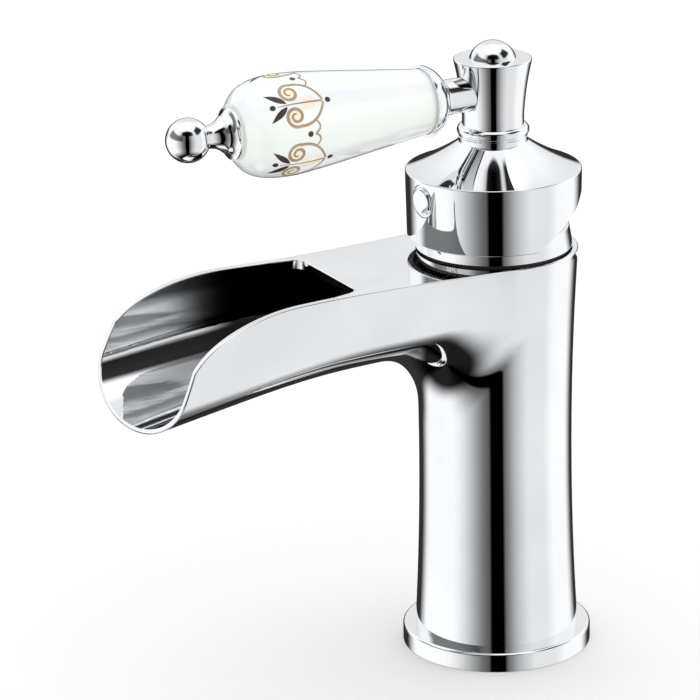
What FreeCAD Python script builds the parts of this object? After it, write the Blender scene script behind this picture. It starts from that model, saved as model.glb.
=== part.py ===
import FreeCAD, Part
import math
import os

# Single-hole basin mixer tap: waisted column, open waterfall spout and a porcelain lever.
# Lengths are millimetres. +Z is up, the spout points to -Y, and the origin is the middle of
# the foot on the plane that the tap stands on.

# Gaps shared by all fits
FIT_GAP = 0.1
RUN_GAP = 0.08
MOVE_GAP = 0.3
FACE_GAP = 0.02
OVERRUN = 1.0

# Base flange and its gasket
FLANGE_RADIUS = 27.0
FLANGE_HEIGHT = 5.5
FLANGE_EDGE = 0.9
FLANGE_LIP_HEIGHT = 2.0
FLANGE_LIP_WALL = 1.5
GASKET_RADIUS = 24.0
GASKET_WIDTH = 4.0
GASKET_HEIGHT = 2.0

# Column of the body
COLUMN_FOOT_RADIUS = 23.4
COLUMN_WAIST_RADIUS = 21.75
COLUMN_WALL = 4.0
WAIST_HEIGHT = 62.0
BODY_HEIGHT = 118.6
TOP_LEDGE = 1.5
HOSE_SPACE_HEIGHT = 58.0
INLET_SPACING = 17.0
INLET_SETBACK = 4.0
INLET_THREAD_RADIUS = 4.45
INLET_THREAD_LENGTH = 12.0
INLET_CHANNEL_RADIUS = 3.2
STUD_SETBACK = 9.5
STUD_THREAD_RADIUS = 3.4
STUD_THREAD_LENGTH = 16.0

# Spout of the body: an oval tube with its top cut level and scooped towards the mouth
SPOUT_REACH = 115.5
SPOUT_ROOT_INSET = 1.1
SPOUT_FLARE = 4.2
SPOUT_TUCK = 2.9
SPOUT_CENTRE_DROP = 12.1
SPOUT_FALL = 7.7
SPOUT_DEPTH = 12.4
SPOUT_WALL = 2.0
STATION_SHARES = (0.0, 0.17, 0.35, 0.52, 0.81, 1.06)
FLARE_SHARES = (0.0, 0.0, 0.0, 0.1, 0.81, 1.12)
TUCK_SHARES = (0.03, 0.33, 0.76, 1.0, 1.07, 2.3)
FALL_SHARES = (0.0, 0.04, 0.11, 0.19, 0.65, 1.22)
ROOT_FILLET = 20.0
ROOT_SIDE_FILLET = 12.0
LIP_OVERBITE = 9.4
MOUTH_LEAN = 24.2
SCOOP_LENGTH = 37.0
SCOOP_DROP = 19.0
SCOOP_END_ANGLE = 23.0
TROUGH_BACK = 38.0
OPENING_BACK = 52.4
OPENING_HALF_WIDTH = 16.7
OPENING_FLARE_ANGLE = 15.5
OPENING_CORNER = 4.0
TOP_PLATE = 2.6
OUTLET_RADIUS = 5.0
OUTLET_DROP = 2.5
OUTLET_WELL_RADIUS = 3.2

# Cartridge, counted outwards from its sleeve and downwards from the stem's pivot
PIVOT_RISE = 3.4
PIVOT_COVER = 4.0
SLEEVE_RADIUS = 9.9
SLEEVE_FLANGE_RADIUS = 14.2
SLEEVE_FLANGE_HEIGHT = 3.0
SLEEVE_KEY_OFFSET = 8.0
SLEEVE_KEY_WIDTH = 2.0
SLEEVE_KEY_DEPTH = 2.0
STOP_DEPTH = 1.8
STOP_HALF_ANGLE = 6.0
SWIVEL_HALF_ANGLE = 50.0
STOP_SPARE_ANGLE = 2.0
NECK_WALL = 2.6
NECK_HEIGHT = 10.8
SHOULDER_THICKNESS = 2.2
HOUSING_WALL = 3.0
FIXED_DISC_HEIGHT = 3.5
MOVING_DISC_HEIGHT = 3.5
MIXING_RECESS_RADIUS = 8.2
MIXING_RECESS_DEPTH = 2.0
CARRIER_HEIGHT = 5.5
CARTRIDGE_BASE_HEIGHT = 5.0
INLET_PORT_RADIUS = 3.0
OUTLET_PORT_RADIUS = 3.4
OUTLET_PORT_SETBACK = 5.4
OUTLET_SLOT_HEIGHT = 3.0
SEAL_WALL = 1.3
SEAL_HEIGHT = 1.6
O_RING_RADIUS = 0.9
O_RING_RISE = 8.0
PIN_RADIUS = 1.5

# Rocking stem
LIFT_ANGLE = 25.0
BALL_RADIUS = 3.3
BALL_DEPTH = 2.0
STEM_SHAFT_RADIUS = 2.5
STEM_EYE_HALF_WIDTH = 3.2
STEM_EYE_HALF_DEPTH = 3.5
STEM_EYE_DROP = 6.0
SHANK_HALF_WIDTH = 4.0
SHANK_TOP_GAP = 0.5

# Nut and trim ring above the cartridge
NUT_SHOULDER = 1.2
NUT_TOP_DROP = 0.6
NUT_SLOT_COUNT = 4
NUT_SLOT_WIDTH = 4.0
NUT_SLOT_DEPTH = 2.5
UPSTAND_WALL = 1.4
UPSTAND_HEIGHT = 4.6
TRIM_WALL = 1.75
TRIM_TAPER = 1.0
TRIM_HEIGHT = 6.4
TRIM_EDGE = 0.4

# Lever head
HEAD_GAP = 4.0
HEAD_CLEARANCE = 0.6
HEAD_WALL = 1.6
HEAD_FLARE = 0.35
HEAD_DRUM_HEIGHT = 18.9
HEAD_EDGE = 0.45
HEAD_CROWN_HEIGHT = 7.9
HEAD_CROWN_HOLLOW = 0.55
HEAD_ROOF = 3.0
HEAD_RELIEF_ANGLE = 29.5
BOSS_RADIUS = 8.5
BOSS_LIFT = 9.0
SHANK_GRIP = 10.5
INDEX_RISE = 13.2
INDEX_ANGLE = 6.5
INDEX_RIM_RADIUS = 4.6
INDEX_RIM_HEIGHT = 0.75
INDEX_BUTTON_RADIUS = 4.0
INDEX_BUTTON_EDGE = 1.0
INDEX_BUTTON_CROWN = 0.2
INDEX_SHANK_RADIUS = 3.7
INDEX_LAND = 0.8
GRUB_RADIUS = 2.5
GRUB_SOCKET_RADIUS = 1.45
GRUB_SOCKET_DEPTH = 2.0

# Turret and its finial
TURRET_FOOT_RADIUS = 9.7
TURRET_FOOT_HEIGHT = 1.2
TURRET_COVE = 0.35
TURRET_COVE_HEIGHT = 0.8
TURRET_BEAD_RADIUS = 10.1
TURRET_BEAD_HEIGHT = 2.6
TURRET_WAIST_RADIUS = 8.65
TURRET_WAIST_RISE = 7.0
TURRET_TOP_RADIUS = 10.95
TURRET_HEIGHT = 23.5
TURRET_EDGE = 0.5
TURRET_SWELL = 0.75
TURRET_SPIGOT_RADIUS = 5.0
TURRET_SPIGOT_LENGTH = 5.5
FINIAL_DOME_RADIUS = 6.6
FINIAL_DOME_HEIGHT = 4.8
FINIAL_SHANK_RADIUS = 2.0
FINIAL_SHANK_LENGTH = 4.5

# Lever along -Y, counted from the turret's axis
LEVER_RISE = 14.2
LEVER_DROOP = 0.4
ROD_RADIUS = 2.5
ROD_GRIP = 3.0
FERRULE_SEAT = 6.5
FERRULE_NECK_RADIUS = 4.9
FERRULE_NECK_END = 16.6
FERRULE_RIM_REACH = 22.6
FERRULE_RIM_RADIUS = 10.25
FERRULE_WALL = 1.0
FERRULE_FLOOR = 19.0
FERRULE_BULGE = 1.1
FERRULE_COVE = 1.5
WASHER_THICKNESS = 0.7
GRIP_GAP = 0.15
GRIP_BORE = 3.2
GRIP_LENGTH = 60.4
GRIP_INNER_RADIUS = 7.2
GRIP_ROUNDING = 0.5
GRIP_RADIUS = 14.0
GRIP_OUTER_RADIUS = 8.0
GRIP_REACH_SHARES = (0.048, 0.35, 0.63, 0.78, 0.88, 0.95)
GRIP_SWELL_SHARES = (0.0, 0.47, 0.89, 1.0, 0.87, 0.52)
CUP_RADIUS = 7.3
CUP_RIM = 0.7
CUP_LENGTH = 2.8
CUP_FOOT_RADIUS = 5.0
BELL_LENGTH = 4.2
FINIAL_NECK_RADIUS = 3.2
FINIAL_NECK_LENGTH = 0.8
BALL_END_RADIUS = 6.1
ROD_END_GRIP = 6.0

ORIGIN = FreeCAD.Vector(0, 0, 0)
UP = FreeCAD.Vector(0, 0, 1)
SIDE = FreeCAD.Vector(1, 0, 0)

# Radii of the cartridge, from the sleeve outwards
neck_bore = SLEEVE_RADIUS + RUN_GAP
neck_radius = neck_bore + NECK_WALL
disc_space_radius = SLEEVE_FLANGE_RADIUS + MOVE_GAP
housing_radius = disc_space_radius + HOUSING_WALL
bore_radius = housing_radius + FIT_GAP
nut_radius = bore_radius + NUT_SHOULDER
nut_bore_radius = neck_radius + FIT_GAP
thread_radius = nut_radius + FIT_GAP
upstand_radius = thread_radius + UPSTAND_WALL
trim_bore_radius = upstand_radius + FIT_GAP
trim_radius = trim_bore_radius + TRIM_WALL
column_top_radius = trim_radius + TOP_LEDGE
head_bore_radius = trim_radius + HEAD_CLEARANCE
head_foot_radius = head_bore_radius + HEAD_WALL
head_radius = head_foot_radius + HEAD_FLARE

# Heights of the cartridge, from the pivot downwards
pivot_height = BODY_HEIGHT + PIVOT_RISE
neck_top = pivot_height + PIVOT_COVER
shoulder_height = neck_top - NECK_HEIGHT
disc_space_top = shoulder_height - SHOULDER_THICKNESS
sleeve_flange_top = disc_space_top - FIT_GAP
sleeve_flange_foot = sleeve_flange_top - SLEEVE_FLANGE_HEIGHT
carrier_top = sleeve_flange_foot - MOVE_GAP
carrier_foot = carrier_top - CARRIER_HEIGHT
moving_disc_foot = carrier_foot - MOVING_DISC_HEIGHT
fixed_disc_top = moving_disc_foot - FACE_GAP
fixed_disc_foot = fixed_disc_top - FIXED_DISC_HEIGHT
seat_height = fixed_disc_foot - CARTRIDGE_BASE_HEIGHT
ball_height = carrier_top - BALL_DEPTH
stem_arm = pivot_height - ball_height
disc_travel = stem_arm * math.sin(math.radians(LIFT_ANGLE))
disc_radius = disc_space_radius - disc_travel / 2 - MOVE_GAP
upstand_top = BODY_HEIGHT + UPSTAND_HEIGHT

# Heights of the lever head and what stands on it
head_foot = BODY_HEIGHT + HEAD_GAP
head_shoulder = head_foot + HEAD_DRUM_HEIGHT
head_top = head_shoulder + HEAD_CROWN_HEIGHT
boss_foot = pivot_height + BOSS_LIFT
shank_top = boss_foot + SHANK_GRIP
index_height = head_foot + INDEX_RISE
turret_top = head_top + TURRET_HEIGHT
lever_height = head_top + LEVER_RISE

# Places in the base and the spout
hose_space_radius = COLUMN_WAIST_RADIUS - COLUMN_WALL
hose_hole_radius = hose_space_radius - FIT_GAP - FLANGE_LIP_WALL
inlet_places = (-INLET_SPACING / 2, INLET_SPACING / 2)
spout_centre = BODY_HEIGHT - SPOUT_CENTRE_DROP
spout_half_width = column_top_radius - SPOUT_ROOT_INSET
blank_top = BODY_HEIGHT + OVERRUN
notch_reach = SPOUT_REACH - LIP_OVERBITE
scoop_angle = math.radians(SCOOP_END_ANGLE)
scoop_start = notch_reach - SCOOP_LENGTH * math.cos(scoop_angle)
notch_height = BODY_HEIGHT - SCOOP_DROP * (1 - math.sin(scoop_angle))
outlet_height = spout_centre - OUTLET_DROP

# Places along the lever, counted from the turret's axis
grip_neck_radius = FERRULE_RIM_RADIUS - FERRULE_WALL - GRIP_GAP
grip_start = FERRULE_FLOOR + WASHER_THICKNESS
grip_end = grip_start + GRIP_LENGTH
cup_start = grip_end + WASHER_THICKNESS
bell_start = cup_start + CUP_LENGTH
finial_neck = bell_start + BELL_LENGTH


def point(radius, height):
    """A point of a turned outline, in the XZ plane."""
    return FreeCAD.Vector(radius, 0, height)


def line(start, end):
    return Part.LineSegment(point(*start), point(*end)).toShape()


def arc(start, middle, end):
    return Part.Arc(point(*start), point(*middle), point(*end)).toShape()


def cap(edge, crown):
    """The arc of a ball-shaped cap, from its edge to its crown on the axis."""
    height = crown[1] - edge[1]
    radius = (edge[0] ** 2 + height ** 2) / (2 * height)
    angle = math.atan2(edge[0], radius - height) / 2
    return arc(edge, (radius * math.sin(angle), crown[1] - radius * (1 - math.cos(angle))), crown)


def curve(places):
    """A smooth curve through the given places."""
    spline = Part.BSplineCurve()
    spline.interpolate([point(*place) for place in places])
    return spline.toShape()


def turned(edges):
    """The solid that a closed outline sweeps around the Z axis."""
    return Part.Face(Part.Wire(edges)).revolve(ORIGIN, UP, 360)


def turned_polygon(*places):
    """A turned solid with straight sides."""
    pairs = zip(places, places[1:] + places[:1])
    return turned([line(start, end) for start, end in pairs])


def cylinder(radius, foot, top, x=0, y=0):
    return Part.makeCylinder(radius, top - foot, FreeCAD.Vector(x, y, foot))


def ring(radius, bore, foot, top):
    return cylinder(radius, foot, top).cut(cylinder(bore, foot - OVERRUN, top + OVERRUN))


def block(x_range, y_range, z_range):
    """A box between two values on each axis."""
    low = FreeCAD.Vector(x_range[0], y_range[0], z_range[0])
    sizes = [pair[1] - pair[0] for pair in (x_range, y_range, z_range)]
    return Part.makeBox(*sizes, low)


def across(half_width):
    """The range from one side to the other."""
    return (-half_width, half_width)


def forward(shape, height, droop=0):
    """A piece turned around Z, laid along -Y at a height, its far end lowered by the droop."""
    laid = shape.copy()
    laid.rotate(ORIGIN, SIDE, 90 + droop)
    laid.translate(UP * height)
    return laid


def along_lever(shape):
    return forward(shape, lever_height, LEVER_DROOP)


def along_index(shape):
    """A turned piece laid along the axis of the plug and the grub screw, beside the lever's line."""
    laid = forward(shape, index_height)
    laid.rotate(ORIGIN, UP, INDEX_ANGLE)
    return laid


def square_shank(half_width, foot, top):
    """The square of the stem, one flat turned to the grub screw."""
    shank = block(across(half_width), across(half_width), (foot, top))
    shank.rotate(ORIGIN, UP, INDEX_ANGLE)
    return shank


def sector(bore, radius, foot, top, half_angle):
    """A part of a ring, to both sides of the rear."""
    places = [(bore, foot), (radius, foot), (radius, top), (bore, top), (bore, foot)]
    face = Part.Face(Part.makePolygon([point(*place) for place in places]))
    part = face.revolve(ORIGIN, UP, 2 * half_angle)
    part.rotate(ORIGIN, UP, 90 - half_angle)
    return part


def spout_section(station, inset):
    """One outline of the spout: a half oval below and tucked-in sides above."""
    half_width = spout_half_width + SPOUT_FLARE * FLARE_SHARES[station] - inset
    top_half_width = half_width - SPOUT_TUCK * TUCK_SHARES[station]
    centre = spout_centre - SPOUT_FALL * FALL_SHARES[station]
    rise = blank_top - centre
    scale = FreeCAD.Matrix()
    scale.scale(half_width, 1, SPOUT_DEPTH - inset)
    slant = math.sqrt(1 / 2)
    edges = []
    for side in (-1, 1):
        oval = arc((side, 0), (side * slant, -slant), (0, -1))
        edges.append(oval.transformGeometry(scale))
        flank = Part.BezierCurve()
        flank.setPoles([
            point(side * half_width, 0),
            point(side * half_width, rise / 2),
            point(side * top_half_width, rise),
        ])
        edges.append(flank.toShape())
    edges.append(line((-top_half_width, rise), (top_half_width, rise)))
    outline = Part.Wire(Part.__sortEdges__(edges))
    outline.translate(FreeCAD.Vector(0, -SPOUT_REACH * STATION_SHARES[station], centre))
    return outline


def spout_tube(inset):
    sections = [spout_section(station, inset) for station in range(len(STATION_SHARES))]
    return Part.makeLoft(sections, True, False)


def spout_cut():
    """Everything above the flat top, the scoop and in front of the mouth."""
    lean = math.radians(MOUTH_LEAN)
    fall = notch_height / math.cos(lean)
    back = column_top_radius + OVERRUN
    front = SPOUT_REACH * STATION_SHARES[-1] + BODY_HEIGHT
    roof = blank_top + OVERRUN
    low = FreeCAD.Vector(0, -notch_reach - fall * math.sin(lean), 0)
    notch = FreeCAD.Vector(0, -notch_reach, notch_height)
    start = FreeCAD.Vector(0, -scoop_start, BODY_HEIGHT)
    middle_angle = (math.pi / 2 + scoop_angle) / 2
    unit_start = FreeCAD.Vector(0, 0, 1)
    unit_middle = FreeCAD.Vector(0, -math.cos(middle_angle), math.sin(middle_angle))
    unit_end = FreeCAD.Vector(0, -math.cos(scoop_angle), math.sin(scoop_angle))
    scale = FreeCAD.Matrix()
    scale.scale(1, SCOOP_LENGTH, SCOOP_DROP)
    scale.move(FreeCAD.Vector(0, -scoop_start, BODY_HEIGHT - SCOOP_DROP))
    scoop = Part.Arc(unit_start, unit_middle, unit_end).toShape().transformGeometry(scale)
    corners = [
        notch,
        low,
        FreeCAD.Vector(0, -front, 0),
        FreeCAD.Vector(0, -front, roof),
        FreeCAD.Vector(0, back, roof),
        FreeCAD.Vector(0, back, BODY_HEIGHT),
        start,
    ]
    edges = [scoop]
    for first, second in zip(corners, corners[1:]):
        edges.append(Part.LineSegment(first, second).toShape())
    face = Part.Face(Part.Wire(edges))
    face.translate(SIDE * -front)
    return face.extrude(SIDE * (2 * front))


def trough():
    """The hollow of the spout, covered by the flat top near the column."""
    hollow = spout_tube(SPOUT_WALL)
    front = SPOUT_REACH * STATION_SHARES[-1]
    plate_foot = BODY_HEIGHT - TOP_PLATE
    covered = hollow.common(block(across(front), (-front, -TROUGH_BACK), (0, plate_foot)))
    flare = (front - OPENING_BACK) * math.tan(math.radians(OPENING_FLARE_ANGLE))
    outer = OPENING_HALF_WIDTH + flare
    corners = [
        FreeCAD.Vector(-OPENING_HALF_WIDTH, -OPENING_BACK, 0),
        FreeCAD.Vector(OPENING_HALF_WIDTH, -OPENING_BACK, 0),
        FreeCAD.Vector(outer, -front, 0),
        FreeCAD.Vector(-outer, -front, 0),
    ]
    face = Part.Face(Part.makePolygon(corners + corners[:1]))
    prism = face.extrude(UP * blank_top)
    posts = [edge for edge in prism.Edges if is_rear_post(edge)]
    opening = hollow.common(prism.makeFillet(OPENING_CORNER, posts))
    return covered.fuse(opening)


def is_rear_post(edge):
    """True for an upright edge at the rear of the spout's opening."""
    first, last = (vertex.Point for vertex in edge.Vertexes)
    upright = first.x == last.x and first.y == last.y
    return upright and first.y > -OPENING_BACK - OVERRUN


def is_spout_root(shape, edge):
    """True for the edge where the underside of the spout meets the round column."""
    surfaces = [face.Surface.TypeId for face in shape.ancestorsOfType(edge, Part.Face)]
    meets = "Part::GeomToroid" in surfaces and "Part::GeomBSplineSurface" in surfaces
    return meets and edge.BoundBox.Center.z < spout_centre


def outer_body():
    """Column and spout, blended below the root on one half that is then mirrored."""
    blank = column_blank().fuse(spout_tube(0)).removeSplitter().cut(spout_cut())
    reach = SPOUT_REACH * STATION_SHARES[-1]
    half = blank.common(block((0, reach), across(reach), (0, blank_top)))
    roots = [edge for edge in half.Edges if is_spout_root(half, edge)]
    blended = half.makeFillet(ROOT_FILLET, ROOT_SIDE_FILLET, roots)
    return blended.fuse(blended.mirror(ORIGIN, SIDE)).removeSplitter()


def column_blank():
    """The waisted column, taller than needed before its top is cut level."""
    foot = (COLUMN_FOOT_RADIUS, FLANGE_HEIGHT)
    waist = (COLUMN_WAIST_RADIUS, WAIST_HEIGHT)
    top = (column_top_radius, BODY_HEIGHT)
    rim = (column_top_radius, blank_top)
    return turned([
        line((0, FLANGE_HEIGHT), foot),
        arc(foot, waist, top),
        line(top, rim),
        line(rim, (0, rim[1])),
        line((0, rim[1]), (0, FLANGE_HEIGHT)),
    ])


def tap_body():
    upstand = cylinder(upstand_radius, BODY_HEIGHT - OVERRUN, upstand_top)
    body = outer_body().fuse(upstand).removeSplitter().cut(trough())
    thread_top = INLET_THREAD_LENGTH + HOSE_SPACE_HEIGHT
    cuts = [
        cylinder(bore_radius, seat_height, upstand_top + OVERRUN),
        cylinder(thread_radius, shoulder_height, upstand_top + OVERRUN),
        cylinder(hose_space_radius, 0, HOSE_SPACE_HEIGHT),
        cylinder(STUD_THREAD_RADIUS, 0, HOSE_SPACE_HEIGHT + STUD_THREAD_LENGTH, 0, -STUD_SETBACK),
        forward(cylinder(OUTLET_RADIUS, 0, TROUGH_BACK + OVERRUN), outlet_height),
        cylinder(OUTLET_WELL_RADIUS, seat_height, outlet_height, 0, OUTLET_WELL_RADIUS / 2 - bore_radius),
    ]
    for x in inlet_places:
        cuts.append(cylinder(INLET_THREAD_RADIUS, 0, thread_top, x, INLET_SETBACK))
        cuts.append(cylinder(INLET_CHANNEL_RADIUS, 0, seat_height + OVERRUN, x, INLET_SETBACK))
    return body.cut(cuts)


def gasket_ring(gap):
    """The rubber ring under the flange, or with a gap the groove that holds it."""
    bore = GASKET_RADIUS - GASKET_WIDTH
    return ring(GASKET_RADIUS + gap, bore - gap, 0, GASKET_HEIGHT)


def base_flange():
    lip_radius = hose_space_radius - FIT_GAP
    lip_top = FLANGE_HEIGHT + FLANGE_LIP_HEIGHT
    edge_middle = FLANGE_EDGE * (1 - math.sqrt(1 / 2))
    shoulder = (FLANGE_RADIUS, FLANGE_HEIGHT - FLANGE_EDGE)
    bend = (FLANGE_RADIUS - edge_middle, FLANGE_HEIGHT - edge_middle)
    rim = (FLANGE_RADIUS - FLANGE_EDGE, FLANGE_HEIGHT)
    flange = turned([
        line((hose_hole_radius, 0), (FLANGE_RADIUS, 0)),
        line((FLANGE_RADIUS, 0), shoulder),
        arc(shoulder, bend, rim),
        line(rim, (lip_radius, FLANGE_HEIGHT)),
        line((lip_radius, FLANGE_HEIGHT), (lip_radius, lip_top)),
        line((lip_radius, lip_top), (hose_hole_radius, lip_top)),
        line((hose_hole_radius, lip_top), (hose_hole_radius, 0)),
    ])
    return flange.cut(gasket_ring(FIT_GAP))


def base_gasket():
    return gasket_ring(0)


def cartridge_base():
    """Lower cap with two sealed inlets and an outlet slot to the front."""
    base = cylinder(housing_radius, seat_height, fixed_disc_foot)
    top = fixed_disc_foot + OVERRUN
    slot = block(
        across(OUTLET_PORT_RADIUS),
        (-housing_radius - OVERRUN, -OUTLET_PORT_SETBACK),
        (seat_height - OVERRUN, seat_height + OUTLET_SLOT_HEIGHT),
    )
    cuts = [slot, cylinder(OUTLET_PORT_RADIUS, seat_height - OVERRUN, top, 0, -OUTLET_PORT_SETBACK)]
    pocket = INLET_PORT_RADIUS + SEAL_WALL + FIT_GAP
    for x in inlet_places:
        cuts.append(cylinder(INLET_PORT_RADIUS, seat_height - OVERRUN, top, x, INLET_SETBACK))
        cuts.append(cylinder(pocket, seat_height - OVERRUN, seat_height + SEAL_HEIGHT, x, INLET_SETBACK))
    return base.cut(cuts)


def inlet_seals():
    seal_radius = INLET_PORT_RADIUS + SEAL_WALL
    seals = []
    for x in inlet_places:
        seal = ring(seal_radius, INLET_PORT_RADIUS, seat_height, seat_height + SEAL_HEIGHT)
        seal.translate(FreeCAD.Vector(x, INLET_SETBACK, 0))
        seals.append(seal)
    return Part.makeCompound(seals)


def fixed_disc():
    disc = cylinder(disc_space_radius - FIT_GAP, fixed_disc_foot, fixed_disc_top)
    foot = fixed_disc_foot - OVERRUN
    top = fixed_disc_top + OVERRUN
    ports = [cylinder(OUTLET_PORT_RADIUS, foot, top, 0, -OUTLET_PORT_SETBACK)]
    for x in inlet_places:
        ports.append(cylinder(INLET_PORT_RADIUS, foot, top, x, INLET_SETBACK))
    return disc.cut(ports)


def moving_disc():
    """Upper disc at the closed end of its travel, with the mixing recess below."""
    centre = disc_travel / 2
    disc = cylinder(disc_radius, moving_disc_foot, carrier_foot, 0, centre)
    recess_top = moving_disc_foot + MIXING_RECESS_DEPTH
    return disc.cut(cylinder(MIXING_RECESS_RADIUS, moving_disc_foot - OVERRUN, recess_top, 0, centre))


def sleeve_keys(gap):
    """Two keys under the sleeve, or with a gap the grooves that run on them."""
    half_width = SLEEVE_KEY_WIDTH / 2 + gap
    depths = (carrier_top + MOVE_GAP - SLEEVE_KEY_DEPTH - gap, sleeve_flange_foot + OVERRUN)
    keys = []
    for x in across(SLEEVE_KEY_OFFSET):
        keys.append(block((x - half_width, x + half_width), across(SLEEVE_FLANGE_RADIUS), depths))
    return keys


def disc_carrier():
    carrier = cylinder(disc_radius, carrier_foot, carrier_top, 0, disc_travel / 2)
    pocket = cylinder(BALL_RADIUS + MOVE_GAP, ball_height - BALL_RADIUS - MOVE_GAP, carrier_top + OVERRUN)
    return carrier.cut([pocket] + sleeve_keys(MOVE_GAP))


def stem_slot():
    """Room for the stem to rock in the sleeve."""
    rock = math.tan(math.radians(LIFT_ANGLE))
    lean = 1 / math.cos(math.radians(LIFT_ANGLE))
    front = (pivot_height - sleeve_flange_foot) * rock + STEM_SHAFT_RADIUS * lean + MOVE_GAP
    rear = PIVOT_COVER * rock + STEM_EYE_HALF_DEPTH * lean + MOVE_GAP
    depths = (carrier_foot, neck_top + OVERRUN)
    return block(across(STEM_EYE_HALF_WIDTH + MOVE_GAP), (-front, rear), depths)


def ball_pocket():
    """Room under the sleeve for the stem's ball at full lift."""
    front = disc_travel + BALL_RADIUS + MOVE_GAP
    lifted_ball = pivot_height - stem_arm * math.cos(math.radians(LIFT_ANGLE))
    depths = (carrier_foot, lifted_ball + BALL_RADIUS + MOVE_GAP)
    return block(across(STEM_EYE_HALF_WIDTH + MOVE_GAP), (-front, 0), depths)


def turning_sleeve():
    tube = cylinder(SLEEVE_RADIUS, sleeve_flange_foot, neck_top)
    flange = cylinder(SLEEVE_FLANGE_RADIUS, sleeve_flange_foot, sleeve_flange_top)
    disc = cylinder(SLEEVE_FLANGE_RADIUS, carrier_foot, sleeve_flange_top)
    keys = [key.common(disc) for key in sleeve_keys(0)]
    reach = SWIVEL_HALF_ANGLE + STOP_HALF_ANGLE + STOP_SPARE_ANGLE
    notch = sector(
        SLEEVE_FLANGE_RADIUS - STOP_DEPTH - MOVE_GAP,
        SLEEVE_FLANGE_RADIUS + OVERRUN,
        carrier_foot,
        disc_space_top,
        reach,
    )
    sleeve = tube.fuse([flange] + keys).removeSplitter()
    pin_hole = pin_along_x(RUN_GAP, SLEEVE_RADIUS + OVERRUN)
    return sleeve.cut([notch, stem_slot(), ball_pocket(), pin_hole])


def pin_along_x(gap, half_length):
    """The pivot pin, or with a gap the hole that it runs in."""
    pin = Part.makeCylinder(PIN_RADIUS + gap, 2 * half_length, ORIGIN, SIDE)
    pin.translate(FreeCAD.Vector(-half_length, 0, pivot_height))
    return pin


def pivot_pin():
    return pin_along_x(0, SLEEVE_RADIUS - MOVE_GAP)


def cartridge_stem():
    """Ball below, eye on the pivot and a square shank above."""
    eye_foot = pivot_height - STEM_EYE_DROP
    ball = Part.makeSphere(BALL_RADIUS, UP * ball_height)
    shaft = cylinder(STEM_SHAFT_RADIUS, ball_height, pivot_height)
    eye = block(across(STEM_EYE_HALF_WIDTH), across(STEM_EYE_HALF_DEPTH), (eye_foot, boss_foot))
    shank = square_shank(SHANK_HALF_WIDTH, boss_foot, shank_top)
    stem = ball.fuse([shaft, eye, shank])
    return stem.cut(pin_along_x(RUN_GAP, SHANK_HALF_WIDTH))


def o_ring(gap):
    """The housing's seal, or with a gap the groove that holds it."""
    height = fixed_disc_foot + O_RING_RISE
    middle_radius = bore_radius - FIT_GAP / 2 - O_RING_RADIUS
    if not gap:
        return Part.makeTorus(middle_radius, O_RING_RADIUS, UP * height)
    half = O_RING_RADIUS + gap
    return ring(housing_radius + OVERRUN, middle_radius - half, height - half, height + half)


def cartridge_housing():
    shell = cylinder(housing_radius, fixed_disc_foot, shoulder_height)
    neck = cylinder(neck_radius, shoulder_height, neck_top)
    space = cylinder(disc_space_radius, fixed_disc_foot - OVERRUN, disc_space_top)
    bore = cylinder(neck_bore, fixed_disc_foot, neck_top + OVERRUN)
    housing = shell.fuse(neck).cut([space, bore, o_ring(FIT_GAP)])
    stop = sector(
        SLEEVE_FLANGE_RADIUS - STOP_DEPTH,
        disc_space_radius + HOUSING_WALL / 2,
        sleeve_flange_foot,
        disc_space_top + SHOULDER_THICKNESS / 2,
        STOP_HALF_ANGLE,
    )
    return housing.fuse(stop).removeSplitter()


def retaining_nut():
    top = upstand_top - NUT_TOP_DROP
    nut = ring(nut_radius, nut_bore_radius, shoulder_height, top)
    depths = (top - NUT_SLOT_DEPTH, top + OVERRUN)
    slots = []
    for number in range(NUT_SLOT_COUNT):
        slot = block(across(NUT_SLOT_WIDTH / 2), (0, nut_radius + OVERRUN), depths)
        slot.rotate(ORIGIN, UP, 360 * number / NUT_SLOT_COUNT)
        slots.append(slot)
    return nut.cut(slots)


def trim_ring():
    """Conical ring over the body's upstand, closed above by a lip."""
    top = BODY_HEIGHT + TRIM_HEIGHT
    top_radius = trim_radius - TRIM_TAPER
    return turned_polygon(
        (trim_bore_radius, BODY_HEIGHT),
        (trim_radius, BODY_HEIGHT),
        (top_radius, top - TRIM_EDGE),
        (top_radius - TRIM_EDGE, top),
        (nut_bore_radius, top),
        (nut_bore_radius, upstand_top + FIT_GAP),
        (trim_bore_radius, upstand_top + FIT_GAP),
    )


def head_outline():
    """The hollow drum with its boss, before holes are cut."""
    edge_middle = HEAD_EDGE * (1 - math.sqrt(1 / 2))
    foot = (head_foot_radius, head_foot)
    wall_end = (head_radius, head_shoulder - HEAD_EDGE)
    edge = (head_radius - edge_middle, head_shoulder - edge_middle)
    crown = (head_radius - HEAD_EDGE, head_shoulder)
    top = (TURRET_FOOT_RADIUS, head_top)
    middle = ((crown[0] + top[0]) / 2, (crown[1] + top[1]) / 2 - HEAD_CROWN_HOLLOW)
    roof_edge = (head_bore_radius, head_shoulder - HEAD_ROOF)
    roof_top = (BOSS_RADIUS, head_top - HEAD_ROOF)
    return turned([
        line((head_bore_radius, head_foot), foot),
        line(foot, wall_end),
        arc(wall_end, edge, crown),
        arc(crown, middle, top),
        line(top, (0, head_top)),
        line((0, head_top), (0, boss_foot)),
        line((0, boss_foot), (BOSS_RADIUS, boss_foot)),
        line((BOSS_RADIUS, boss_foot), roof_top),
        line(roof_top, roof_edge),
        line(roof_edge, (head_bore_radius, head_foot)),
    ])


def head_relief():
    """The slope below the drum's rear that lets the head rock back."""
    reach = head_radius + OVERRUN
    relief = block(across(reach), (0, 2 * reach), (head_foot - reach, head_foot))
    relief.rotate(UP * head_foot, SIDE, HEAD_RELIEF_ANGLE)
    return relief


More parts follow.
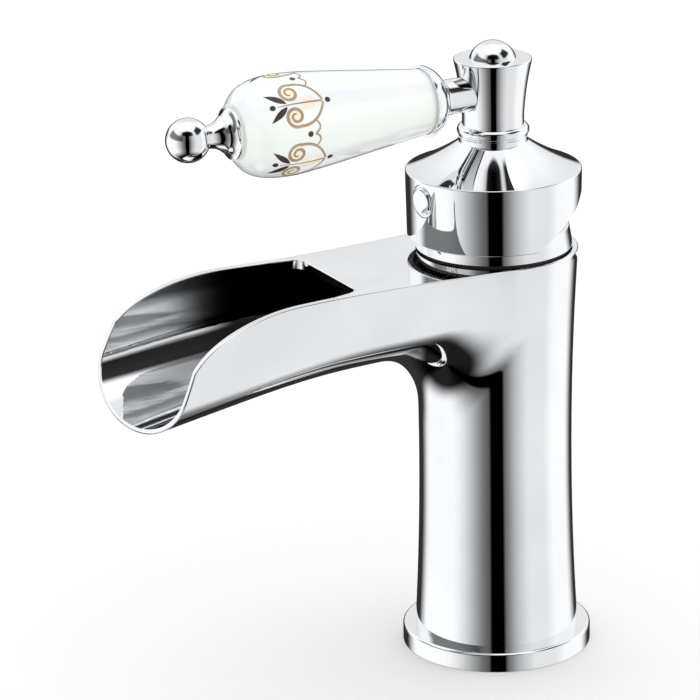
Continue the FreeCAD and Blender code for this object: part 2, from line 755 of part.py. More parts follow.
def lever_head():
    socket = SHANK_HALF_WIDTH + FIT_GAP / 2
    grub_hole = cylinder(GRUB_RADIUS + FIT_GAP / 2, 0, BOSS_RADIUS + OVERRUN)
    index_floor = head_bore_radius + INDEX_LAND
    index_hole = cylinder(INDEX_SHANK_RADIUS + FIT_GAP, BOSS_RADIUS + OVERRUN, head_radius + OVERRUN)
    index_seat = cylinder(INDEX_RIM_RADIUS + FIT_GAP, index_floor, head_radius + OVERRUN)
    spigot_foot = head_top - TURRET_SPIGOT_LENGTH - FIT_GAP
    return head_outline().cut([
        square_shank(socket, boss_foot - OVERRUN, shank_top + SHANK_TOP_GAP),
        cylinder(TURRET_SPIGOT_RADIUS + FIT_GAP / 2, spigot_foot, head_top + OVERRUN),
        along_index(grub_hole),
        along_index(index_hole),
        along_index(index_seat),
        head_relief(),
    ])


def grub_screw():
    """Headless screw with a six-sided socket, against the shank."""
    screw = cylinder(GRUB_RADIUS, SHANK_HALF_WIDTH, BOSS_RADIUS)
    corners = []
    for number in range(7):
        angle = math.radians(360 * number / 6)
        corners.append(FreeCAD.Vector(math.cos(angle), math.sin(angle), 0) * GRUB_SOCKET_RADIUS)
    socket = Part.Face(Part.makePolygon(corners)).extrude(UP * (GRUB_SOCKET_DEPTH + OVERRUN))
    socket.translate(UP * (BOSS_RADIUS - GRUB_SOCKET_DEPTH))
    return along_index(screw.cut(socket))


def index_plug():
    """Push-in plug: a thin rim around a raised button with a rounded edge."""
    floor = head_bore_radius + INDEX_LAND
    rim = floor + INDEX_RIM_HEIGHT
    face_radius = INDEX_BUTTON_RADIUS - INDEX_BUTTON_EDGE
    bend = INDEX_BUTTON_EDGE * math.sqrt(1 / 2)
    button = (INDEX_BUTTON_RADIUS, rim)
    face = (face_radius, rim + INDEX_BUTTON_EDGE)
    crown = (0, face[1] + INDEX_BUTTON_CROWN)
    plug = turned([
        line((0, head_bore_radius), (INDEX_SHANK_RADIUS, head_bore_radius)),
        line((INDEX_SHANK_RADIUS, head_bore_radius), (INDEX_SHANK_RADIUS, floor)),
        line((INDEX_SHANK_RADIUS, floor), (INDEX_RIM_RADIUS, floor)),
        line((INDEX_RIM_RADIUS, floor), (INDEX_RIM_RADIUS, rim)),
        line((INDEX_RIM_RADIUS, rim), button),
        arc(button, (face_radius + bend, rim + bend), face),
        cap(face, crown),
        line(crown, (0, head_bore_radius)),
    ])
    return along_index(plug)


def turret():
    """Flared post on the head, with a bead at its foot and a hole for the lever."""
    spigot_foot = head_top - TURRET_SPIGOT_LENGTH
    foot_top = (TURRET_FOOT_RADIUS, head_top + TURRET_FOOT_HEIGHT)
    cove_radius = TURRET_FOOT_RADIUS - TURRET_COVE
    cove_middle = (cove_radius, foot_top[1] + TURRET_COVE_HEIGHT / 2)
    cove_top = (TURRET_FOOT_RADIUS, foot_top[1] + TURRET_COVE_HEIGHT)
    bead = (TURRET_BEAD_RADIUS, cove_top[1] + TURRET_BEAD_HEIGHT / 2)
    bead_top = (TURRET_WAIST_RADIUS, cove_top[1] + TURRET_BEAD_HEIGHT)
    waist = (TURRET_WAIST_RADIUS, head_top + TURRET_WAIST_RISE)
    rim_foot = (TURRET_TOP_RADIUS, turret_top - TURRET_EDGE)
    flare = ((waist[0] + rim_foot[0]) / 2 - TURRET_SWELL / 2, (waist[1] + rim_foot[1]) / 2)
    rim = (TURRET_TOP_RADIUS - TURRET_EDGE, turret_top)
    post = turned([
        line((0, spigot_foot), (TURRET_SPIGOT_RADIUS, spigot_foot)),
        line((TURRET_SPIGOT_RADIUS, spigot_foot), (TURRET_SPIGOT_RADIUS, head_top)),
        line((TURRET_SPIGOT_RADIUS, head_top), (TURRET_FOOT_RADIUS, head_top)),
        line((TURRET_FOOT_RADIUS, head_top), foot_top),
        arc(foot_top, cove_middle, cove_top),
        arc(cove_top, bead, bead_top),
        line(bead_top, waist),
        arc(waist, flare, rim_foot),
        line(rim_foot, rim),
        line(rim, (0, turret_top)),
        line((0, turret_top), (0, spigot_foot)),
    ])
    seat = cylinder(FERRULE_NECK_RADIUS + FIT_GAP, FERRULE_SEAT, TURRET_TOP_RADIUS + OVERRUN)
    rod_hole = cylinder(ROD_RADIUS + FIT_GAP, -ROD_GRIP - FIT_GAP, TURRET_TOP_RADIUS)
    finial_foot = turret_top - FINIAL_SHANK_LENGTH - FIT_GAP
    finial_hole = cylinder(FINIAL_SHANK_RADIUS + FIT_GAP, finial_foot, turret_top + OVERRUN)
    return post.cut([along_lever(seat), along_lever(rod_hole), finial_hole])


def top_finial():
    """Domed button with a screw shank below."""
    foot = turret_top - FINIAL_SHANK_LENGTH
    edge = (FINIAL_DOME_RADIUS, turret_top)
    crown = (0, turret_top + FINIAL_DOME_HEIGHT)
    return turned([
        line((0, foot), (FINIAL_SHANK_RADIUS, foot)),
        line((FINIAL_SHANK_RADIUS, foot), (FINIAL_SHANK_RADIUS, turret_top)),
        line((FINIAL_SHANK_RADIUS, turret_top), edge),
        cap(edge, crown),
        line(crown, (0, foot)),
    ])


def lever_ferrule():
    """Neck that seats in the turret and a cup around the grip's inner end."""
    bore = ROD_RADIUS + FIT_GAP
    cup_radius = FERRULE_RIM_RADIUS - FERRULE_WALL
    floor_radius = GRIP_INNER_RADIUS + GRIP_GAP
    neck_end = (FERRULE_NECK_RADIUS, FERRULE_NECK_END)
    rim = (FERRULE_RIM_RADIUS, FERRULE_RIM_REACH)
    lip = (cup_radius, FERRULE_RIM_REACH)
    floor = (floor_radius, FERRULE_FLOOR)
    bulge = bulged(neck_end, rim, FERRULE_BULGE)
    hollow = bulged(floor, lip, FERRULE_BULGE / 2)
    ferrule = turned([
        line((bore, FERRULE_SEAT), (FERRULE_NECK_RADIUS, FERRULE_SEAT)),
        line((FERRULE_NECK_RADIUS, FERRULE_SEAT), neck_end),
        arc(neck_end, bulge, rim),
        line(rim, lip),
        arc(lip, hollow, floor),
        line(floor, (bore, FERRULE_FLOOR)),
        line((bore, FERRULE_FLOOR), (bore, FERRULE_SEAT)),
    ])
    necks = [edge for edge in ferrule.Edges if is_neck_end(edge)]
    return along_lever(ferrule.makeFillet(FERRULE_COVE, necks))


def is_neck_end(edge):
    """True for the round edge where the ferrule's neck meets its cup."""
    return len(edge.Vertexes) == 1 and edge.Vertexes[0].Z == FERRULE_NECK_END


def bulged(start, end, bulge):
    """The middle of two places, pushed outwards square to their line."""
    along = (end[0] - start[0], end[1] - start[1])
    length = math.hypot(*along)
    middle = ((start[0] + end[0]) / 2, (start[1] + end[1]) / 2)
    return (middle[0] + bulge * along[1] / length, middle[1] - bulge * along[0] / length)


def washer(start):
    ring_wall = ring(GRIP_INNER_RADIUS - GRIP_GAP, GRIP_BORE, start, start + WASHER_THICKNESS)
    return along_lever(ring_wall)


def porcelain_grip():
    """Club-shaped grip, thickest near its outer end, with a bore for the rod."""
    inner = (GRIP_INNER_RADIUS, grip_start)
    outer = (GRIP_OUTER_RADIUS, grip_end)
    swell = GRIP_RADIUS - grip_neck_radius
    profile = []
    for reach, share in zip(GRIP_REACH_SHARES, GRIP_SWELL_SHARES):
        profile.append((grip_neck_radius + swell * share, grip_start + GRIP_LENGTH * reach))
    shoulder = profile[0]
    rounding = bulged(inner, shoulder, GRIP_ROUNDING)
    grip = turned([
        line((GRIP_BORE, grip_start), inner),
        arc(inner, rounding, shoulder),
        curve(profile + [outer]),
        line(outer, (GRIP_BORE, grip_end)),
        line((GRIP_BORE, grip_end), (GRIP_BORE, grip_start)),
    ])
    return along_lever(grip)


def lever_rod():
    rod = cylinder(ROD_RADIUS, -ROD_GRIP, cup_start + ROD_END_GRIP)
    return along_lever(rod)


def ball_finial():
    """Cup against the grip, a bell, a thin neck and the ball."""
    cup_rim = (CUP_RADIUS, cup_start + CUP_RIM)
    cup_foot = (CUP_FOOT_RADIUS, bell_start)
    neck_start = (FINIAL_NECK_RADIUS, finial_neck)
    neck_end = (FINIAL_NECK_RADIUS, finial_neck + FINIAL_NECK_LENGTH)
    ball_drop = math.sqrt(BALL_END_RADIUS ** 2 - FINIAL_NECK_RADIUS ** 2)
    ball_middle = (BALL_END_RADIUS, neck_end[1] + ball_drop)
    ball_tip = (0, neck_end[1] + ball_drop + BALL_END_RADIUS)
    hole = ROD_RADIUS + FIT_GAP / 2
    hole_end = cup_start + ROD_END_GRIP + FIT_GAP
    finial = turned([
        line((hole, cup_start), (CUP_RADIUS, cup_start)),
        line((CUP_RADIUS, cup_start), cup_rim),
        arc(cup_rim, bulged(cup_rim, cup_foot, -FINIAL_NECK_LENGTH / 2), cup_foot),
        arc(cup_foot, bulged(cup_foot, neck_start, -FINIAL_NECK_LENGTH / 2), neck_start),
        line(neck_start, neck_end),
        arc(neck_end, ball_middle, ball_tip),
        line(ball_tip, (0, hole_end)),
        line((0, hole_end), (hole, hole_end)),
        line((hole, hole_end), (hole, cup_start)),
    ])
    return along_lever(finial)


PIECES = {
    "tap_body": tap_body,
    "base_flange": base_flange,
    "base_gasket": base_gasket,
    "cartridge_base": cartridge_base,
    "inlet_seals": inlet_seals,
    "fixed_disc": fixed_disc,
    "cartridge_housing": cartridge_housing,
    "housing_o_ring": lambda: o_ring(0),
    "retaining_nut": retaining_nut,
    "trim_ring": trim_ring,
    "turning_sleeve": turning_sleeve,
    "pivot_pin": pivot_pin,
    "cartridge_stem": cartridge_stem,
    "disc_carrier": disc_carrier,
    "moving_disc": moving_disc,
    "lever_head": lever_head,
    "grub_screw": grub_screw,
    "index_plug": index_plug,
    "turret": turret,
    "top_finial": top_finial,
    "lever_rod": lever_rod,
    "lever_ferrule": lever_ferrule,
    "inner_washer": lambda: washer(FERRULE_FLOOR),
    "porcelain_grip": porcelain_grip,
    "outer_washer": lambda: washer(grip_end),
    "ball_finial": ball_finial,
}

os.makedirs("parts", exist_ok=True)
for node, make in PIECES.items():
    make().exportStep("parts/" + node + ".step")
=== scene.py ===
"""Looks of a basin mixer tap with a porcelain lever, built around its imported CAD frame."""

import math

import bpy
import numpy as np
from mathutils import Matrix, Vector
from mathutils.geometry import tessellate_polygon


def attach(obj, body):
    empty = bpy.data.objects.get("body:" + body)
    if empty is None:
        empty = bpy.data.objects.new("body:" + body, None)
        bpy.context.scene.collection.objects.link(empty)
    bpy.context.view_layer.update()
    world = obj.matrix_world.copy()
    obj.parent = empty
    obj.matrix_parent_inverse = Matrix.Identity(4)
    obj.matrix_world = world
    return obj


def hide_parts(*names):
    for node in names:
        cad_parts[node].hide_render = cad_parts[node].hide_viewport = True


bl_info = {
    "name": "Basin Mixer Tap",
    "version": (1, 0, 0),
    "blender": (4, 5, 0),
    "location": "3D View > Sidebar > Tap",
    "description": "Chrome basin tap with an open spout and a porcelain lever, with its studio",
    "category": "Object",
}

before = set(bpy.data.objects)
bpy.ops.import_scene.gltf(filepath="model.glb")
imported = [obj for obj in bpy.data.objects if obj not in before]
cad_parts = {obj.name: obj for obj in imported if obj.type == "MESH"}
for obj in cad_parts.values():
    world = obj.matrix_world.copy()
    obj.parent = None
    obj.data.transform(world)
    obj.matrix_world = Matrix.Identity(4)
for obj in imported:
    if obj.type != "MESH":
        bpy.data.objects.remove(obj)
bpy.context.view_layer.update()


# Shader expressions

class Value:
    """A socket of a node tree; sums and products of values add Math nodes."""

    def __init__(self, paint, socket):
        self.paint = paint
        self.socket = socket

    def math(self, operation, *inputs):
        return self.paint.node("ShaderNodeMath", {"operation": operation}, dict(enumerate(inputs)))

    def __add__(self, other):
        return self.math("ADD", self, other)

    def __radd__(self, other):
        return self.math("ADD", other, self)

    def __sub__(self, other):
        return self.math("SUBTRACT", self, other)

    def __rsub__(self, other):
        return self.math("SUBTRACT", other, self)

    def __mul__(self, other):
        return self.math("MULTIPLY", self, other)

    def __rmul__(self, other):
        return self.math("MULTIPLY", other, self)

    def __truediv__(self, other):
        return self.math("DIVIDE", self, other)

    def __neg__(self):
        return self.math("MULTIPLY", self, -1.0)

    def __abs__(self):
        return self.math("ABSOLUTE", self)

    def step(self, low, high):
        """Rises softly from 0 at low to 1 at high."""
        return self.paint.node(
            "ShaderNodeMapRange",
            {"interpolation_type": "SMOOTHSTEP"},
            {"Value": self, "From Min": low, "From Max": high},
        )

    def between(self, low, high, soft):
        """1 from low to high, with soft edges."""
        return self.step(low - soft, low + soft) * (1 - self.step(high - soft, high + soft))


class Paint:
    """A node tree that is filled by expressions."""

    def __init__(self, tree):
        self.tree = tree
        self.tree.nodes.clear()

    def node(self, kind, settings=None, inputs=None, output=0):
        """Adds a node: its settings first, then the values or links of its sockets."""
        made = self.tree.nodes.new(kind)
        for key, value in (settings or {}).items():
            setattr(made, key, value)
        for key, value in (inputs or {}).items():
            if isinstance(value, Value):
                self.tree.links.new(value.socket, made.inputs[key])
            else:
                made.inputs[key].default_value = value
        return Value(self, made.outputs[output]) if made.outputs else None

    def mix(self, amount, first, second):
        """A colour between two colours."""
        return self.node(
            "ShaderNodeMix", {"data_type": "RGBA"}, {0: amount, 6: first, 7: second}, output=2
        )

    def noise(self, scale, detail=3.0, vector=None):
        inputs = {"Scale": scale, "Detail": detail}
        if vector is not None:
            inputs["Vector"] = vector
        return self.node("ShaderNodeTexNoise", {}, inputs)

    def place(self):
        """Object coordinates, which don't move with the pose."""
        return self.node("ShaderNodeTexCoord", output="Object")

    def split(self, vector):
        """The three parts of a vector."""
        made = self.node("ShaderNodeSeparateXYZ", {}, {0: vector})
        return [Value(self, socket) for socket in made.socket.node.outputs]

    def bump(self, height, distance, strength=1.0):
        return self.node(
            "ShaderNodeBump", {}, {"Strength": strength, "Distance": distance, "Height": height}
        )


def finish_named(name, shade):
    """A material whose Principled sockets are given by shade(paint)."""
    known = bpy.data.materials.get(name)
    if known:
        return known
    material = bpy.data.materials.new(name)
    material.use_nodes = True
    paint = Paint(material.node_tree)
    shader = paint.node("ShaderNodeBsdfPrincipled", {}, shade(paint))
    paint.node("ShaderNodeOutputMaterial", {}, {"Surface": shader})
    return material


def colours():
    return bpy.context.scene.tap_finish


def opaque(colour):
    return (*colour, 1.0)


def chrome():
    """Bright plated chrome: a clean mirror with a faint haze and a trace of polishing ripple."""

    def shade(paint):
        place = paint.place()
        haze = paint.noise(38.0, 4.0, place)
        ripple = paint.noise(160.0, 2.0, place)
        deep = opaque([part * 0.95 for part in colours().chrome])
        return {
            "Base Color": paint.mix(haze.step(0.35, 0.65), deep, opaque(colours().chrome)),
            "Metallic": 1.0,
            "Roughness": 0.018 + 0.02 * haze.step(0.4, 0.75),
            "Normal": paint.bump(ripple, 0.00002, 0.05),
        }

    return finish_named("bright_chrome", shade)


def cast_inside():
    """The dull, dark inside of a casting, where no polish reaches."""

    def shade(paint):
        place = paint.place()
        grain = paint.noise(1500.0, 4.0, place)
        stain = paint.noise(70.0, 3.0, place)
        deep = opaque([part * 0.5 for part in colours().casting])
        return {
            "Base Color": paint.mix(stain.step(0.3, 0.7), deep, opaque(colours().casting)),
            "Metallic": 0.6,
            "Roughness": 0.5 + 0.2 * grain,
            "Normal": paint.bump(grain, 0.00005, 0.4),
        }

    return finish_named("dull_casting", shade)


# Where the trough's finish and its painted dark reflections change, in metres; a third number is the edge's
# softness
CORNER_HEIGHT = 0.1052
CORNER_REACH = 0.06
WALL_START = (-0.002, 0.003)
PAINTED_DARK_CORNER_BAND = (-0.0064, -0.0022, 0.0006)
PAINTED_DARK_REAR = (-0.084, -0.071)
UNSTREAKED_RIM = (0.1115, 0.1145)

# How much the trough's corner falls per length, and the scales along X, Y and Z of its brushed streaks, whose
# colour is a painted reflection
CORNER_FALL = 0.13
STREAK_SCALES = (0.4, 0.16, 1.6)


def waterway():
    """The trough's chrome: a mirror below, brushed streaks on the walls whose colour is a painted reflection,
    and painted dark reflections behind and along the corners.
    """

    def shade(paint):
        place = paint.place()
        x, y, z = paint.split(place)
        above = z - CORNER_HEIGHT + (-y - CORNER_REACH) * CORNER_FALL
        wall = above.step(*WALL_START)
        # Painted dark reflection over the rear of the trough, towards the column
        back = y.step(*PAINTED_DARK_REAR)
        scaled = {key: part * scale for key, part, scale in zip("XYZ", (x, y, z), STREAK_SCALES)}
        along = paint.node("ShaderNodeCombineXYZ", {}, scaled)
        # Brushed streaks: their bump is the brushing, their dark grey colour is a painted reflection
        streak = paint.noise(170.0, 3.0, along).step(0.42, 0.6)
        rim = z.step(*UNSTREAKED_RIM)
        # Painted dark reflection in a band along both lower corners
        corner = above.between(*PAINTED_DARK_CORNER_BAND)
        pale = opaque(colours().chrome)
        deep = opaque([part * 0.35 for part in colours().chrome])
        # Darkened casting colour for the painted dark reflections
        dark = opaque([part * 0.2 for part in colours().casting])
        painted_reflection_streaks = paint.mix(streak * (1 - rim), deep, pale)
        front = paint.mix(wall, pale, painted_reflection_streaks)
        painted_dark_reflection = 1 - (1 - back) * (1 - 0.99 * corner)
        return {
            "Base Color": paint.mix(painted_dark_reflection, front, dark),
            "Metallic": 1.0,
            "Roughness": 0.03 + 0.2 * wall + 0.25 * corner,
            "Normal": paint.bump(streak, 0.00005, 0.3),
        }

    return finish_named("waterway_chrome", shade)


def enamel(name, colour):
    """Fired paint on the glaze."""

    def shade(paint):
        worn = paint.noise(220.0, 3.0, paint.place())
        pale = opaque([min(1.0, part * 1.15 + 0.02) for part in colour])
        return {
            "Base Color": paint.mix(worn.step(0.4, 0.7), opaque(colour), pale),
            "Roughness": 0.3 + 0.2 * worn,
            "Coat Weight": 0.4,
            "Coat Roughness": 0.05,
        }

    return finish_named(name, shade)


# Heights of the glaze's green tint and of the painted cool shade on the grip, in metres; a third number is
# the edge's softness
GREEN_BAND = (0.1585, 0.1655, 0.004)
PAINTED_SHADE_BELOW = (0.149, 0.157)
PAINTED_SHADE_ABOVE = (0.168, 0.174)


def porcelain():
    """White glazed porcelain with the faint green tint of its glaze, and a painted cool shade at its top and
    underside.
    """

    def shade(paint):
        place = paint.place()
        height = paint.split(place)[2]
        cloud = paint.noise(45.0, 2.0, place)
        green = height.between(*GREEN_BAND) * (0.45 + 0.4 * cloud)
        # Painted cool shade: bluer at the grip's top and underside
        painted_cool_shade = (1 - height.step(*PAINTED_SHADE_BELOW)) * 0.5 + height.step(*PAINTED_SHADE_ABOVE) * 0.6
        tinted = paint.mix(green, opaque(colours().porcelain), opaque(colours().glaze_green))
        return {
            "Base Color": paint.mix(painted_cool_shade, tinted, opaque(colours().shade_blue)),
            "Roughness": 0.08 + 0.06 * cloud,
            "Coat Weight": 0.6,
            "Coat Roughness": 0.03,
            "Normal": paint.bump(paint.noise(120.0, 1.0, place), 0.0001, 0.05),
        }

    return finish_named("glazed_porcelain", shade)


def turned_metal(name, colour, roughness):
    """Plain metal with fine turning marks across its height."""

    def shade(paint):
        place = paint.place()
        height = paint.split(place)[2]
        across = {"W": height, "Scale": 4200.0}
        marks = paint.node("ShaderNodeTexNoise", {"noise_dimensions": "1D"}, across)
        stain = paint.noise(90.0, 3.0, place)
        dark = opaque([part * 0.72 for part in colour])
        return {
            "Base Color": paint.mix(stain.step(0.3, 0.75), dark, opaque(colour)),
            "Metallic": 1.0,
            "Roughness": roughness + 0.12 * marks,
            "Normal": paint.bump(marks, 0.00003, 0.4),
        }

    return finish_named(name, shade)


def moulded(name, colour, roughness, grain, depth):
    """Plastic, rubber or ceramic with a fine grain."""

    def shade(paint):
        place = paint.place()
        fine = paint.noise(grain, 3.0, place)
        broad = paint.noise(60.0, 2.0, place)
        light = opaque([min(1.0, part * 1.15 + 0.01) for part in colour])
        return {
            "Base Color": paint.mix(broad.step(0.35, 0.7), opaque(colour), light),
            "Roughness": roughness + 0.15 * fine,
            "Normal": paint.bump(fine, depth, 0.5),
        }

    return finish_named(name, shade)


# Surfaces

MILLIMETRE = 0.001
WELD = 0.0005
SEGMENTS = 192
CORNER_STEPS = 6
EDGE_STEPS = 8
BEND_STEPS = 10
COVE_STEPS = 12
CUP_STEPS = 16
BEAD_STEPS = 18
CROWN_STEPS = 24
DOME_STEPS = 40
FLARE_STEPS = 48
COLUMN_STEPS = 60
BALL_STEPS = 64
SPOKE_STEPS = 6
HOLE_MARGIN = 1.25
UP = np.array((0.0, 0.0, 1.0))
MIRROR = np.array((-1.0, 1.0, 1.0))
BRIGHT, DULL, WATERWAY = range(3)


def full_turn(count):
    """Even angles once around."""
    return np.linspace(0, 2 * math.pi, count, endpoint=False)


def unit(vectors):
    vectors = np.asarray(vectors, float)
    return vectors / np.linalg.norm(vectors, axis=-1, keepdims=True)


class Skin:
    """Patches of a surface in millimetres, each with exact normals, that make one mesh in metres."""

    def __init__(self):
        self.points = []
        self.normals = []
        self.quads = []
        self.finishes = []
        self.finish = BRIGHT
        self.count = 0

    def add(self, points, normals, quads):
        points = np.asarray(points, float).reshape(-1, 3)
        normals = np.broadcast_to(normals, points.shape) if np.ndim(normals) == 1 else normals
        self.points.append(points)
        self.normals.append(np.asarray(normals, float).reshape(-1, 3))
        self.quads.append(np.asarray(quads) + self.count)
        self.finishes.append(np.full(len(quads), self.finish))
        self.count += len(points)

    def grid(self, points, normals, closed=False):
        """Rows and columns of points; closed joins the last column to the first."""
        rows, columns = np.shape(points)[:2]
        index = np.arange(rows * columns).reshape(rows, columns)
        following = np.roll(index, -1, axis=1) if closed else index[:, 1:]
        here = index if closed else index[:, :-1]
        quads = np.stack([here[:-1], following[:-1], following[1:], here[1:]], axis=-1)
        self.add(points, normals, quads.reshape(-1, 4))

    def halves(self, points, normals):
        """A grid on the right of the middle plane and its mirror image."""
        self.grid(points, normals)
        self.grid(points * MIRROR, normals * MIRROR)

    def flat(self, normal, *loops):
        """A flat face inside its first loop and outside the others."""
        corners = np.concatenate([np.asarray(loop, float) for loop in loops])
        triangles = tessellate_polygon([[Vector(corner) for corner in loop] for loop in loops])
        quads = [(*triangle, triangle[-1]) for triangle in triangles]
        self.add(corners, np.asarray(normal, float), quads)

    def turned(self, runs, lay=None):
        """Runs of a profile swept around Z, then laid by a matrix."""
        angles = full_turn(SEGMENTS)
        for places, normals in runs:
            points, outward = spun(places, angles), spun(normals, angles)
            if lay is not None:
                points = points @ lay[:3, :3].T + lay[:3, 3]
                outward = outward @ lay[:3, :3].T
            self.grid(points, outward, closed=True)

    def mesh(self, name):
        points, normals = np.concatenate(self.points), np.concatenate(self.normals)
        quads = np.concatenate(self.quads)
        corners = points[quads]
        facing = np.cross(corners[:, 2] - corners[:, 0], corners[:, 3] - corners[:, 1])
        backward = np.sum(facing * normals[quads].sum(axis=1), axis=1) < 0
        quads[backward] = quads[backward][:, ::-1]
        cells = np.round(points / WELD).astype(np.int64)
        _, first, welded = np.unique(cells, axis=0, return_index=True, return_inverse=True)
        welded = welded.reshape(-1).tolist()
        faces, loops, finishes = [], [], []
        for quad, finish in zip(quads.tolist(), np.concatenate(self.finishes).tolist()):
            before = [welded[quad[number - 1]] for number in range(len(quad))]
            kept = [corner for corner, last in zip(quad, before) if welded[corner] != last]
            face = [welded[corner] for corner in kept]
            if len(set(face)) == len(face) > 2:
                faces.append(face)
                loops.extend(kept)
                finishes.append(finish)
        mesh = bpy.data.meshes.new(name)
        mesh.from_pydata((points[first] * MILLIMETRE).tolist(), [], faces)
        mesh.shade_smooth()
        mesh.polygons.foreach_set("material_index", finishes)
        mesh.normals_split_custom_set(unit(normals[loops]).tolist())
        return mesh


def spun(places, angles):
    """Radius and height pairs turned around Z: one row for each pair, one column for each angle."""
    radius, height = places[:, :1], places[:, 1:]
    spread = np.ones_like(angles)
    return np.stack([radius * np.cos(angles), radius * np.sin(angles), height * spread], axis=-1)


def straight(start, end, steps=1):
    """A straight run of a profile; its normals point to the right of the way it goes."""
    places = np.linspace(start, end, steps + 1)
    along = unit(places[-1] - places[0])
    return places, np.tile((along[1], -along[0]), (steps + 1, 1))


def bow(start, middle, end, steps):
    """An arc of a profile through three places."""
    start, middle, end = (np.asarray(place, float) for place in (start, middle, end))
    first, second = middle - start, end - start
    twist = first[0] * second[1] - first[1] * second[0]
    square, other = first @ first, second @ second
    offset = np.array((second[1] * square - first[1] * other, first[0] * other - second[0] * square))
    centre = start + offset / (2 * twist)
    angles = [math.atan2(*(place - centre)[::-1]) for place in (start, end)]
    sweep = (angles[1] - angles[0]) % (2 * math.pi)
    if twist < 0:
        sweep -= 2 * math.pi
    turn = angles[0] + sweep * np.linspace(0, 1, steps + 1)
    outward = np.stack([np.cos(turn), np.sin(turn)], axis=-1)
    return centre + np.linalg.norm(start - centre) * outward, outward * np.sign(twist)


def bulged(start, end, bulge):
    """The middle of two places, pushed to the right of the way between them."""
    start, end = np.asarray(start, float), np.asarray(end, float)
    along = unit(end - start)
    return (start + end) / 2 + bulge * np.array((along[1], -along[0]))


def outline(*corners, closed=False):
    """Straight runs through corners; a third number rounds a corner off."""
    ends = []
    for number, corner in enumerate(corners):
        place = np.asarray(corner[:2], float)
        if len(corner) == 2:
            ends.append((place, place, None))
            continue
        before = unit(np.asarray(corners[number - 1][:2]) - place)
        after = unit(np.asarray(corners[(number + 1) % len(corners)][:2]) - place)
        half = math.acos(before @ after) / 2
        reach = corner[2] / math.tan(half)
        middle = place + unit(before + after) * corner[2] * (1 / math.sin(half) - 1)
        ends.append((place + before * reach, place + after * reach, middle))
    runs = []
    for number in range(len(corners) if closed else len(corners) - 1):
        arrive, leave, middle = ends[number]
        if middle is not None:
            runs.append(bow(arrive, middle, leave, CORNER_STEPS))
        runs.append(straight(leave, ends[(number + 1) % len(corners)][0]))
    return runs


def natural_curve(places, values):
    """A smooth curve through values at rising places, as a function."""
    places, values = np.asarray(places, float), np.asarray(values, float)
    gaps = np.diff(places)
    slopes = np.diff(values) / gaps
    system, right = np.eye(len(places)), np.zeros(len(places))
    for number in range(1, len(places) - 1):
        before, after = gaps[number - 1], gaps[number]
        system[number, number - 1:number + 2] = before, 2 * (before + after), after
        right[number] = 6 * (slopes[number] - slopes[number - 1])
    bends = np.linalg.solve(system, right)

    def curve(at):
        at = np.clip(at, places[0], places[-1])
        number = np.clip(np.searchsorted(places, at) - 1, 0, len(gaps) - 1)
        gap = gaps[number]
        before, after = at - places[number], places[number + 1] - at
        low, high = bends[number], bends[number + 1]
        bent = (low * after ** 3 + high * before ** 3) / (6 * gap)
        return (bent + (values[number] / gap - low * gap / 6) * after
                + (values[number + 1] / gap - high * gap / 6) * before)

    return curve


def rounded(edge, first, second, radius, steps=4):
    """Rows of points and normals that round off an edge between faces with two normals."""
    first, second = np.broadcast_to(first, edge.shape), np.broadcast_to(second, edge.shape)
    turn = np.sum(first * second, axis=-1, keepdims=True)
    centre = edge - (first + second) * radius / (1 + turn)
    shares = np.linspace(0, 1, steps + 1).reshape(-1, *[1] * edge.ndim)
    normals = unit(first * (1 - shares) + second * shares)
    return centre + radius * normals, normals


def pierced(skin, run, angles, side, height, hole):
    """A turned run with a round hole towards a side; gives the points of the hole's edge."""
    places, normals = run
    heights = places[:, 1] if places[-1, 1] > places[0, 1] else places[::-1, 1]
    order = np.arange(len(places)) if places[-1, 1] > places[0, 1] else np.arange(len(places))[::-1]
    places, normals = places[order], normals[order]
    margin = hole * HOLE_MARGIN
    half = math.asin(margin / np.interp(height, heights, places[:, 0]))
    low = np.searchsorted(heights, height - margin) - 1
    high = np.searchsorted(heights, height + margin)
    left = np.searchsorted(angles, side - half) - 1
    right = np.searchsorted(angles, side + half)
    points, outward = spun(places, angles), spun(normals, angles)
    for rows, columns in (
        (slice(0, low + 1), slice(None)),
        (slice(high, None), slice(None)),
        (slice(low, high + 1), slice(0, left + 1)),
        (slice(low, high + 1), slice(right, None)),
    ):
        skin.grid(points[rows, columns], outward[rows, columns])
    rim = [(low, column) for column in range(left, right)]
    rim += [(row, right) for row in range(low, high)]
    rim += [(high, column) for column in range(right, left, -1)]
    rim += [(row, left) for row in range(high, low, -1)]
    rows = np.array([row for row, _ in rim], float)
    turns = angles[[column for _, column in rim]] - side
    number = np.arange(len(places))
    lift = np.interp(rows, number, heights) - height
    aside = np.interp(rows, number, places[:, 0]) * np.sin(turns)
    spoke = np.arctan2(lift, aside)
    hole_rows = np.interp(height + hole * np.sin(spoke), heights, number)
    hole_turns = np.arcsin(hole * np.cos(spoke) / np.interp(hole_rows, number, places[:, 0]))
    shares = np.linspace(0, 1, SPOKE_STEPS + 1)[:, None]
    rows = rows * (1 - shares) + hole_rows * shares
    turns = side + turns * (1 - shares) + hole_turns * shares
    radius, rise = (np.interp(rows, number, places[:, part]) for part in (0, 1))
    slope = [np.interp(rows, number, normals[:, part]) for part in (0, 1)]
    points = np.stack([radius * np.cos(turns), radius * np.sin(turns), rise], axis=-1)
    outward = np.stack([slope[0] * np.cos(turns), slope[0] * np.sin(turns), slope[1]], axis=-1)
    skin.grid(points, unit(outward), closed=True)
    return points[-1]


